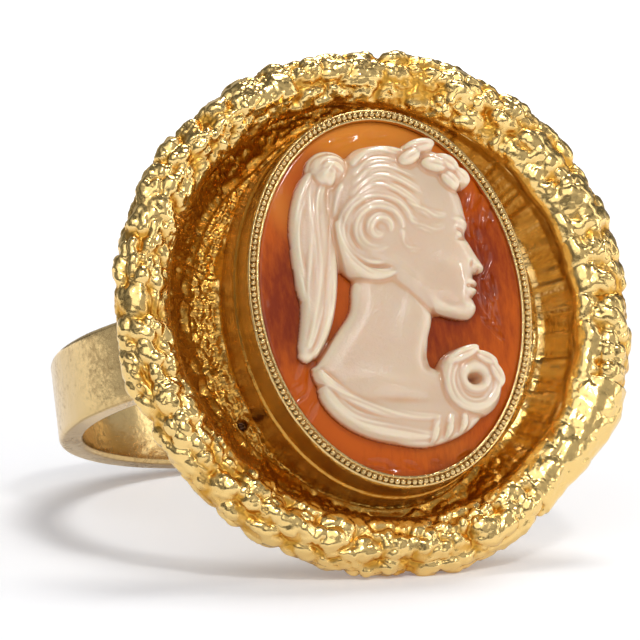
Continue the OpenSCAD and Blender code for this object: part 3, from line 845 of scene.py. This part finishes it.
def cushion_share(s):
    """Height of a cushion, as a share, at a share of the way out; below 0 outside."""
    inside = np.clip(1 - s ** ROUND, 0, 1) ** (1 / ROUND)
    return np.where(s < 1, inside, (1 - s) * OUTER_FALL)


def flow_together(heights, more, soft):
    """The higher of two forms, with a soft fillet between them."""
    fillet = np.maximum(soft - np.abs(heights - more), 0) ** 2 / (4 * soft)
    return np.maximum(heights, more) + fillet


def smooth_loop(points, steps):
    """Smooth closed curve through a few points."""
    after = np.roll(points, -1, axis=0)
    before, next_but_one = np.roll(points, 1, axis=0), np.roll(points, -2, axis=0)
    loop = []
    for t in np.arange(steps) / steps:
        bend = before * 2 - points * 5 + after * 4 - next_but_one
        twist = points * 3 - before - after * 3 + next_but_one
        loop.append((points * 2 + (after - before) * t + bend * t ** 2 + twist * t ** 3) / 2)
    return np.stack(loop, axis=1).reshape(-1, 2)


def near_path(path, reach):
    """Cells close to a path, with their signed distance and their share along it."""
    low, high = path.min(0) - reach, path.max(0) + reach
    box = (raster_u > low[0]) & (raster_u < high[0]) & (raster_v > low[1]) & (raster_v < high[1])
    cells = np.nonzero(box)
    u, v = raster_u[cells], raster_v[cells]
    nearest, side, along = np.full(u.shape, 9.0), np.zeros(u.shape), np.zeros(u.shape)
    for k, (here, after) in enumerate(zip(path[:-1], path[1:])):
        step = after - here
        length = np.hypot(*step)
        t = np.clip(((u - here[0]) * step[0] + (v - here[1]) * step[1]) / length ** 2, 0, 1)
        off_u, off_v = u - here[0] - t * step[0], v - here[1] - t * step[1]
        distance = np.hypot(off_u, off_v)
        closer = distance < nearest
        nearest = np.where(closer, distance, nearest)
        side = np.where(closer, np.sign(off_u * step[1] - off_v * step[0]), side)
        along = np.where(closer, (k + t) / (len(path) - 1), along)
    return cells, nearest * side, along


def outline_body(outline, middle, height):
    """A cushion over an outline: rounded along its edge and fuller in its middle."""
    loop = smooth_loop(np.array([spot(u, v) for u, v in outline]), OUTLINE_STEPS)
    around = loop - middle
    turn, reach = np.arctan2(around[:, 1], around[:, 0]), np.hypot(around[:, 0], around[:, 1])
    order = np.argsort(turn)
    off_u, off_v = raster_u - middle[0], raster_v - middle[1]
    far, way = np.hypot(off_u, off_v), np.arctan2(off_v, off_u)
    outside = far > np.interp(way, turn[order], reach[order], period=2 * pi)
    swell = EDGE_SWELL + (1 - EDGE_SWELL) * np.clip(1 - (far / np.median(reach)) ** 2, 0, 1)
    cells, aside, _ = near_path(np.concatenate([loop, loop[:1]]), EDGE_W)
    depth = np.full_like(raster_u, EDGE_W)
    depth[cells] = np.minimum(np.abs(aside), EDGE_W)
    inside = rise(height) * swell * cushion_share(1 - depth / EDGE_W)
    return np.where(outside, -1.3 * depth, inside)


def turned_share(u, v, half_width, half_height, turn):
    """Share of the way from a middle to an ellipse round it."""
    middle, turn = spot(u, v), radians(turn)
    off_u, off_v = raster_u - middle[0], raster_v - middle[1]
    along = off_u * cos(turn) + off_v * sin(turn)
    aside = off_v * cos(turn) - off_u * sin(turn)
    return np.hypot(along / span(half_width), aside / span(half_height))


print("places on the raster:", raster_u.size)

# %% Strands along curves
HAIR_DEPTH = 0.025
HAIR_PITCH, BROAD_PITCH, BROAD = 0.2, 0.46, 1.0
TAPER_TO = 0.35
SECTION_FALL, EDGE_FALL, EDGE_FROM, HAIR_TO = 0.62, 3, 0.85, 0.9


def pads_top():
    top = np.zeros_like(raster_u)
    for u, v, half_width, half_height, turn, height in PADS:
        share = turned_share(u, v, half_width, half_height, turn)
        top = np.maximum(top, rise(height) * cushion_share(share))
    return top


PADS_TOP = pads_top()


def carve_strand(heights, path, width, height, foot):
    """Lays a strand on the relief, tapered at both ends, with fine lines along it."""
    cells, aside, along = near_path(path, 0.75 * width)
    flat_top, pitch = (4, BROAD_PITCH) if width > BROAD else (2, HAIR_PITCH)
    taper = TAPER_TO + (1 - TAPER_TO) * np.sqrt(np.sin(pi * np.clip(along, 0, 1)))
    share = np.abs(aside) / (width / 2 * taper)
    section = 1 - SECTION_FALL * share ** flat_top - EDGE_FALL * np.clip(share - EDGE_FROM, 0, None)
    shift = 0.5 * np.sin(7 * along + 40 * width)
    hair = np.cos(2 * pi * (aside / pitch + shift)) - 1
    base = np.maximum(PADS_TOP[cells], rise(foot))
    laid = base + section * height * taper + HAIR_DEPTH * hair * (share < HAIR_TO) * taper
    heights[cells] = flow_together(heights[cells], laid, STRAND_FILLET)


def curl_path(u, v, r_from, r_to, start, end):
    t = np.linspace(0, 1, 48)
    r, turn = span(r_from + (r_to - r_from) * t), np.radians(start + (end - start) * t)
    return spot(u, v) + np.stack([r * np.cos(turn), r * np.sin(turn)], axis=-1)


def flow_path(row):
    a, b, c, d = (spot(row[k], row[k + 1]) for k in (0, 2, 4, 6))
    t = np.linspace(0, 1, 40)[:, None]
    return a * (1 - t) ** 3 + 3 * b * (1 - t) ** 2 * t + 3 * c * (1 - t) * t ** 2 + d * t ** 3


print("the pads rise to", round(float(PADS_TOP.max()), 2), "mm")

# %% The whole relief
VEIN_H, VEIN_W = 0.07, 0.22
MODELLED, SPREAD = 2.0, 1.6
RELIEF_POLISH, SHADING_BLUR = 6, 60


def carve_leaf(heights, u, v, turn, length, width, height):
    share = turned_share(u, v, length / 2, width / 2, turn)
    across = turned_share(u, v, 10 * length, width / 2, turn)
    top = rise(height) - span(width) / 2 * (1 - np.sqrt(np.clip(1 - share ** 2, 0, 1)))
    top = top - VEIN_H * np.exp(-(across / VEIN_W) ** 2) * (share < HAIR_TO)
    np.maximum(heights, np.where(share < 1, top, (1 - share) * 2), out=heights)


def polish(heights, passes):
    """Blurs the relief a little, as polishing rounds its edges."""
    for _ in range(passes):
        for axis in (0, 1):
            around = np.roll(heights, 1, axis) + np.roll(heights, -1, axis)
            heights = 0.5 * heights + 0.25 * around
    return heights


def carve_relief():
    heights = np.full_like(raster_u, NOTHING)
    for outline, u, v, height in CUSHIONS:
        heights = flow_together(heights, outline_body(outline, spot(u, v), height), FILLET)
    for u, v, half_width, half_height, turn, height in PADS:
        share = turned_share(u, v, half_width, half_height, turn)
        heights = flow_together(heights, rise(height) * cushion_share(share), PAD_FILLET)
    for *place, width, height, foot in CURLS:
        carve_strand(heights, curl_path(*place), span(width), rise(height), foot)
    for row in FLOWS:
        carve_strand(heights, flow_path(row), span(row[8]), rise(row[9]), row[10])
    for row in LEAVES:
        carve_leaf(heights, *row)
    for u, v, half_width, half_height, turn, height in MODELLING:
        share = turned_share(u, v, half_width, half_height, turn)
        heights += MODELLED * rise(height) * np.exp(-SPREAD * share ** 2) * (heights > 0)
    return polish(np.maximum(heights, NOTHING), RELIEF_POLISH)


relief = carve_relief()
# for painted shade and highlight: above 0 in the hollows of the carving, below 0 on its crests
relief_shading = polish(relief, SHADING_BLUR) - relief
print("the relief rises to", round(float(relief.max()), 2), "mm")

# %% [markdown]
# ### The bust as a mesh
# A grid is laid over the cameo, and what lies outside the figure is cut away. The cut
# edge would be a staircase, so its corners are smoothed before the grid takes its
# heights. The edge goes down to the ground, and the back is filled, so the bust is a
# closed body that sits on the ground.

# %% Mesh of the bust
CELL = 0.031
SUNK = 0.02
LEAST_H = 0.01
MARGIN = 0.1
EDGE_PASSES = 3


def field_at(field, u, v):
    """Value of a field of the raster between its places."""
    i, j = (u + HALF_U) / RASTER, (v + HALF_V) / RASTER
    low_i, low_j = np.floor(i).astype(int), np.floor(j).astype(int)
    fi, fj = i - low_i, j - low_j
    low = field[low_i, low_j] * (1 - fi) + field[low_i + 1, low_j] * fi
    high = field[low_i, low_j + 1] * (1 - fi) + field[low_i + 1, low_j + 1] * fi
    return low * (1 - fj) + high * fj


def biggest_part(bm):
    """Deletes loose crumbs, so that one connected sheet is left."""
    left, parts = set(bm.verts), []
    while left:
        front, part = [left.pop()], set()
        while front:
            vert = front.pop()
            part.add(vert)
            for edge in vert.link_edges:
                other = edge.other_vert(vert)
                if other in left:
                    left.remove(other)
                    front.append(other)
        parts.append(part)
    parts.sort(key=len)
    for part in parts[:-1]:
        bmesh.ops.delete(bm, geom=list(part), context="VERTS")


def make_bust():
    reach_u, reach_v = HALF_U - MARGIN, HALF_V - MARGIN
    bm = bmesh.new()
    bmesh.ops.create_grid(
        bm, x_segments=ceil(2 * reach_u / CELL), y_segments=ceil(2 * reach_v / CELL), size=1
    )
    bmesh.ops.scale(bm, vec=(reach_u, reach_v, 1), verts=bm.verts)
    flat = np.array([(v.co.x, v.co.y) for v in bm.verts])
    inside = field_at(relief, flat[:, 0], flat[:, 1]) > 0
    outside = [vert for vert, keep in zip(bm.verts, inside) if not keep]
    bmesh.ops.delete(bm, geom=outside, context="VERTS")
    thin = [v for v in bm.verts if len(v.link_faces) == 0]
    bmesh.ops.delete(bm, geom=thin, context="VERTS")
    biggest_part(bm)
    border = [v for v in bm.verts if v.is_boundary]
    second = list({e.other_vert(v) for v in border for e in v.link_edges} | set(border))
    for _ in range(EDGE_PASSES):
        for verts in (border, second):
            bmesh.ops.smooth_vert(bm, verts=verts, factor=0.5, use_axis_x=True, use_axis_y=True)
    edge = np.array([v.is_boundary for v in bm.verts])
    rim = [e for e in bm.edges if e.is_boundary]
    bmesh.ops.triangle_fill(bm, edges=rim, use_beauty=False, use_dissolve=False)
    mesh = bpy.data.meshes.new("carved_bust")
    bm.to_mesh(mesh)
    bm.free()
    u, v = corners(mesh)[:, 0], corners(mesh)[:, 1]
    height = np.where(edge, -SUNK, np.maximum(field_at(relief, u, v), LEAST_H))
    points = np.stack([u, -dome_level(u, v) - height, v], axis=-1)
    store(mesh, lay_down(points), {"height": height, "relief_shading": field_at(relief_shading, u, v)})
    close_up(mesh)
    return piece_of(mesh, "cameo_figure")


carved_bust = make_bust()

# %% [markdown]
# ## Shader maths as Python
# A finish is a sum of small patterns. Writing it as node links hides the idea, so a
# Wire stands for one socket and takes part in ordinary arithmetic. Nodes wraps a node
# tree and makes any other node with one call, and a Finish is a material's tree with
# the few patterns that this ring needs.

# %% Wires and finishes
class Wire:
    """One output socket. Arithmetic on it adds Math nodes to its tree."""

    def __init__(self, nodes, socket):
        self.nodes, self.socket = nodes, socket

    def math(self, operation, *operands):
        return self.nodes.node("Math", {"operation": operation}, dict(enumerate(operands)))

    def __add__(self, other):
        return self.math("ADD", self, other)

    def __sub__(self, other):
        return self.math("SUBTRACT", self, other)

    def __rsub__(self, other):
        return self.math("SUBTRACT", other, self)

    def __mul__(self, other):
        return self.math("MULTIPLY", self, other)

    __radd__, __rmul__ = __add__, __mul__

    def between(self, low, high, start=0, end=1):
        """Start below low, end above high, smooth between."""
        sockets = {0: self, 1: low, 2: high, 3: start, 4: end}
        return self.nodes.node("MapRange", {"interpolation_type": "SMOOTHSTEP"}, sockets)


class Nodes:
    """A node tree in which one call makes a node, sets it and wires it."""

    def __init__(self, tree):
        self.tree = tree

    def node(self, kind, settings=None, sockets=None, out=0):
        made = self.tree.nodes.new("ShaderNode" + kind)
        for label, value in (settings or {}).items():
            setattr(made, label, value)
        for label, value in (sockets or {}).items():
            if isinstance(value, Wire):
                self.tree.links.new(value.socket, made.inputs[label])
            else:
                made.inputs[label].default_value = value
        return Wire(self, made.outputs[out])


class Finish(Nodes):
    """A material: its Principled shader's constants, and the patterns that feed it."""

    def __init__(self, name, **constants):
        self.material = bpy.data.materials.new(name)
        self.material.use_nodes = True
        super().__init__(self.material.node_tree)
        self.shader = self.tree.nodes["Principled BSDF"]
        for label, value in constants.items():
            self.shader.inputs[label.replace("_", " ")].default_value = value

    def place(self, stretch=(1, 1, 1)):
        """The object's own coordinates, in millimetres, stretched."""
        own = self.node("TexCoord", out="Object")
        return self.node("Mapping", {}, {"Vector": own, "Scale": tuple(s / MM for s in stretch)})

    def noise(self, per_mm, detail=3.0, roughness=0.55, stretch=(1, 1, 1)):
        sockets = {"Vector": self.place(stretch), "Scale": per_mm}
        sockets |= {"Detail": detail, "Roughness": roughness}
        return self.node("TexNoise", {}, sockets)

    def mark(self, label):
        return self.node("Attribute", {"attribute_name": label}, out="Fac")

    def blend(self, share, first, second):
        """One colour passing into another."""
        return self.node("Mix", {"data_type": "RGBA"}, {0: share, 6: first, 7: second}, out=2)

    def bump(self, height, depth):
        """Relief of height times a depth in millimetres."""
        sockets = {"Height": height, "Distance": depth * MM, "Strength": 1.0}
        return self.node("Bump", {}, sockets)

    def feed(self, **wires):
        for label, wire in wires.items():
            self.tree.links.new(wire.socket, self.shader.inputs[label.replace("_", " ")])

    def give(self, *pieces):
        for piece in pieces:
            piece.data.materials.clear()
            piece.data.materials.append(self.material)


print("nodes can be written as sums")

# %% [markdown]
# ## Gold
# Rich yellow gold, in three finishes. The rim is bright, and its crevices get a darker, warmer
# painted shade and a rougher gold. The bowl and the bezel are as cast: the deeper a place of the
# channel lies, the rougher its gold is and the darker its painted shade. That painted shade is also
# deeper on the channel's grainy left side and in its corners, and the pit is painted almost black
# as shade. The band and the beads are satin, with faint smudges from wear.

# %% Gold finishes
BRIGHT = (0.87, 0.61, 0.235, 1)
CREASE_SHADE_GOLD = (0.66, 0.34, 0.05, 1)
CHANNEL_SHADE_GOLD = (0.54, 0.29, 0.06, 1)
PALE = (0.71, 0.51, 0.23, 1)
DULL = (0.46, 0.30, 0.12, 1)
PIT_SHADE_BLACK = (0.10, 0.05, 0.03, 1)


def rim_gold():
    gold = Finish("rim_gold", Metallic=1.0)
    hollow = gold.mark("hollow")
    cloud = gold.noise(0.9)
    # painted shade: crevices darker and warmer gold, and rougher too
    painted_shade = (hollow + 0.3 * (cloud - 0.5)).between(0.36, 0.72)
    fine = gold.noise(5.0, 3.0)
    gold.feed(
        Base_Color=gold.blend(painted_shade, BRIGHT, CREASE_SHADE_GOLD),
        Roughness=0.16 + 0.16 * painted_shade + 0.08 * fine,
        Normal=gold.bump(fine + 0.15 * gold.noise(14.0), 0.012),
    )
    return gold


def cast_gold():
    gold = Finish("channel_gold", Metallic=1.0)
    hollow, channel, pit = gold.mark("hollow"), gold.mark("channel"), gold.mark("pit")
    fine = gold.noise(3.5, 4.0, 0.55)
    # painted shade: darker, more amber gold over the channel, its cuts and its corners
    painted_shade = (0.7 * channel + 0.6 * hollow + 0.5 * (fine - 0.5)).between(0.1, 1.1)
    colour = gold.blend(painted_shade, PALE, CHANNEL_SHADE_GOLD)
    gold.feed(
        # painted shade: the pit is almost black
        Base_Color=gold.blend(pit.between(0.7, 1.0), colour, PIT_SHADE_BLACK),
        Roughness=0.08 + 0.1 * painted_shade + 0.1 * fine,
        Normal=gold.bump(fine + 0.15 * gold.noise(12.0), 0.04),
    )
    return gold


def satin_gold():
    gold = Finish("band_gold", Metallic=1.0)
    scratches = gold.noise(5.0, 3.0, 0.5)
    cloud = gold.noise(0.5, 2.0)
    smudge = (0.6 * gold.noise(0.35, 3.0, 0.6) + 0.4 * scratches).between(0.47, 0.68)
    gold.feed(
        Base_Color=gold.blend(0.85 * smudge, PALE, DULL),
        Roughness=0.16 + 0.08 * scratches + 0.12 * smudge,
        Normal=gold.bump(0.2 * scratches + gold.noise(1.2) + 0.6 * cloud, 0.025),
    )
    return gold


rim_gold().give(nugget_rim)
cast_gold().give(bowl)
satin_gold().give(band, milgrain_beads)
print("gold finishes are on")

# %% [markdown]
# ## Shell
# The shell lets light in. The ground is a clouded orange-brown under a hard polish, darker or more
# golden where its mark says so, and the bust is cream. Where the cream layer is thin, at its edges
# and in the hollows between strands, the orange below shows through, so its colour follows the
# height of the carving. In addition, the carving's hollows get a darker peach as painted shade and
# its crests a lighter cream as painted highlight.

# %% Shell finishes
ORANGE = (0.55, 0.10, 0.004, 1)
RED_BROWN = (0.23, 0.024, 0.001, 1)
HONEY = (0.74, 0.25, 0.03, 1)
CREAM = (0.71, 0.535, 0.38, 1)
HIGHLIGHT_CREAM = (0.86, 0.72, 0.53, 1)
BLUSH = (0.69, 0.465, 0.32, 1)
THIN_AND_SHADED_PEACH = (0.68, 0.385, 0.20, 1)
THIN = (0.50, 0.12, 0.02, 1)
SHADING_SPAN = 0.026


def ground_shell():
    shell = Finish(
        "orange_shell", Specular_IOR_Level=0.05, Coat_Weight=0.55, Coat_Roughness=0.03,
        Subsurface_Weight=0.25, Subsurface_Scale=0.001, Subsurface_Radius=(1.0, 0.4, 0.15),
    )
    cloud = shell.noise(0.32, 2.0, 0.5, (1.0, 1.0, 0.6))
    streaks = shell.noise(1.6, 5.0, 0.65, (2.2, 1.0, 0.5))
    shade = shell.mark("shade")
    dark = (0.6 * cloud + 0.6 * streaks + 0.35 * shade).between(0.5, 0.95)
    colour = shell.blend(dark, ORANGE, RED_BROWN)
    light = (0.5 * cloud - 0.5 * shade).between(0.3, 0.75)
    shell.feed(
        Base_Color=shell.blend(light, colour, HONEY),
        Roughness=0.1 + 0.1 * streaks,
        Normal=shell.bump(streaks + shell.noise(5.0, 4.0), 0.006),
    )
    return shell


def figure_shell():
    shell = Finish(
        "cream_shell", Specular_IOR_Level=0.5, Coat_Weight=0.9, Coat_Roughness=0.05,
        Subsurface_Weight=0.45, Subsurface_Scale=0.001, Subsurface_Radius=(0.9, 0.45, 0.22),
    )
    height, relief_shading = shell.mark("height") * (1 / RELIEF_H), shell.mark("relief_shading") * (1 / SHADING_SPAN)
    cloud = shell.noise(0.7, 3.0)
    fine = shell.noise(6.0, 4.0)
    thick = (height + 0.12 * (cloud - 0.5)).between(0.05, 0.55)
    body = shell.blend(thick, THIN_AND_SHADED_PEACH, CREAM)
    body = shell.blend(0.4 * shell.noise(0.4, 2.0).between(0.4, 0.65), body, BLUSH)
    # painted shade in the hollows, then painted highlight on the crests
    body = shell.blend(0.8 * relief_shading.between(0, 1), body, THIN_AND_SHADED_PEACH)
    body = shell.blend(0.8 * relief_shading.between(0, -1), body, HIGHLIGHT_CREAM)
    edge = (height + 0.05 * (fine - 0.5)).between(0.0, 0.27)
    shell.feed(
        Base_Color=shell.blend(edge, THIN, body),
        Roughness=0.16 + 0.14 * fine,
        Normal=shell.bump(fine + 0.4 * shell.noise(16.0), 0.022),
    )
    return shell


ground_shell().give(shell_ground)
figure_shell().give(carved_bust)
print("shell finishes are on")

# %% [markdown]
# ## Table, light and camera
# The ring lies on a plain white table. One broad lamp and one high lamp give most of
# the light, and small ones give sharp glints. Gold shows what it reflects, so the room
# has lighter and darker parts. To the camera the room is plain white, and the table
# glows more and more with distance, so that no horizon shows. The camera looks at the
# ring from the photograph's angle, a little from the left and a little above.

# %% White table
TABLE_R, TABLE_SIDES = 0.6, 64
PAPER = ((0.93, 0.93, 0.93, 1), (0.95, 0.95, 0.95, 1))
GLOW_NEAR, GLOW_FAR = (0.13, 0.13, 0.15, 1), (0.9, 0.9, 0.9, 1)
GLOW_MM = (30, 220)


def make_table():
    bm = bmesh.new()
    bmesh.ops.create_circle(bm, cap_ends=True, segments=TABLE_SIDES, radius=TABLE_R)
    mesh = bpy.data.meshes.new("table")
    bm.to_mesh(mesh)
    bm.free()
    table = bpy.data.objects.new("table", mesh)
    bpy.context.scene.collection.objects.link(table)
    paper = Finish("table_paper", Roughness=0.6, Emission_Strength=1.0)
    tint = paper.noise(0.02, 2.0)
    far = paper.node("VectorMath", {"operation": "LENGTH"}, {0: paper.place()}, out=1)
    paper.feed(
        Base_Color=paper.blend(tint, *PAPER),
        Emission_Color=paper.blend(far.between(*GLOW_MM), GLOW_NEAR, GLOW_FAR),
    )
    paper.give(table)


make_table()
print("table is", 2 * TABLE_R, "m across")

# %% Lamps
# name, place in metres, width and height in metres, watts
LAMPS = [
    ("key", (-0.14, -0.38, 0.40), 0.46, 0.42, 0.8),
    ("spark", (0.04, -0.34, 0.46), 0.06, 0.06, 0.58),
    ("top", (0.17, 0.17, 0.53), 0.22, 0.17, 1.5),
    ("side", (0.45, -0.12, 0.26), 0.12, 0.40, 0.28),
    ("glint", (0.43, -0.33, 0.13), 0.06, 0.10, 0.17),
]
RING_MIDDLE = Vector((0, -0.004, 0.009))


def make_lamp(name, place, wide, high, watts):
    light = bpy.data.lights.new(name, "AREA")
    light.shape, light.size, light.size_y, light.energy = "RECTANGLE", wide, high, watts
    lamp = bpy.data.objects.new(name, light)
    lamp.location = place
    lamp.rotation_euler = (RING_MIDDLE - lamp.location).to_track_quat("-Z", "Y").to_euler()
    bpy.context.scene.collection.objects.link(lamp)


for row in LAMPS:
    make_lamp(*row)
print(len(LAMPS), "lamps")

# %% Room
ROOM_PARTS, ROOM_DETAIL = 1.6, 1.0
ROOM_SPAN = (0.35, 0.65)
ROOM_DIM = (0.09, 0.53)


def make_room():
    """A room that looks white but lights the ring dimly, with darker and lighter parts."""
    world = bpy.data.worlds.new("white_room")
    bpy.context.scene.world = world
    world.use_nodes = True
    room = Nodes(world.node_tree)
    sockets = {"Vector": room.node("TexCoord", out="Generated")}
    sockets |= {"Scale": ROOM_PARTS, "Detail": ROOM_DETAIL}
    dim = room.node("TexNoise", {}, sockets).between(*ROOM_SPAN, *ROOM_DIM)
    seen = room.node("LightPath", out="Is Camera Ray")
    strength = room.node("Mix", {}, {"Factor": seen, "A": dim, "B": 1.0})
    background = room.tree.nodes["Background"]
    background.inputs["Color"].default_value = (1, 1, 1, 1)
    room.tree.links.new(strength.socket, background.inputs["Strength"])
    return world


bpy.context.scene.view_settings.view_transform = "Standard"
print("room:", make_room().name)

# %% Camera at the photograph's angle
PHOTO_PX = 640
FOCAL_PX = 4796.74
SENSOR_MM = 36.0
CAMERA_FAR, CLIP_FROM = 0.2, 0.01
AROUND, ABOVE, ROLL = radians(18.97), radians(10.24), radians(0.3)
HOLE_PX = (288.18, 377.39)


def make_camera():
    right = Vector((cos(AROUND), -sin(AROUND), 0))
    up = Vector((sin(AROUND) * sin(ABOVE), cos(AROUND) * sin(ABOVE), cos(ABOVE)))
    back = right.cross(up)
    hole = Vector(HOLE_MIDDLE)
    per_px = CAMERA_FAR / FOCAL_PX
    off_right, off_up = PHOTO_PX / 2 - HOLE_PX[0], HOLE_PX[1] - PHOTO_PX / 2
    aim = hole + right * off_right * per_px + up * off_up * per_px
    data = bpy.data.cameras.new("photo_camera")
    data.sensor_width, data.lens = SENSOR_MM, SENSOR_MM * FOCAL_PX / PHOTO_PX
    camera = bpy.data.objects.new("photo_camera", data)
    eye = hole + back * CAMERA_FAR
    away = (eye - aim).normalized()
    across = up.cross(away).normalized()
    turned = Matrix((across, away.cross(across), away)).transposed().to_4x4()
    camera.matrix_world = Matrix.Translation(eye) @ turned @ Matrix.Rotation(ROLL, 4, "Z")
    data.clip_start = CLIP_FROM
    bpy.context.scene.collection.objects.link(camera)
    bpy.context.scene.camera = camera


make_camera()
print("camera is", round(CAMERA_FAR * 100), "cm away")
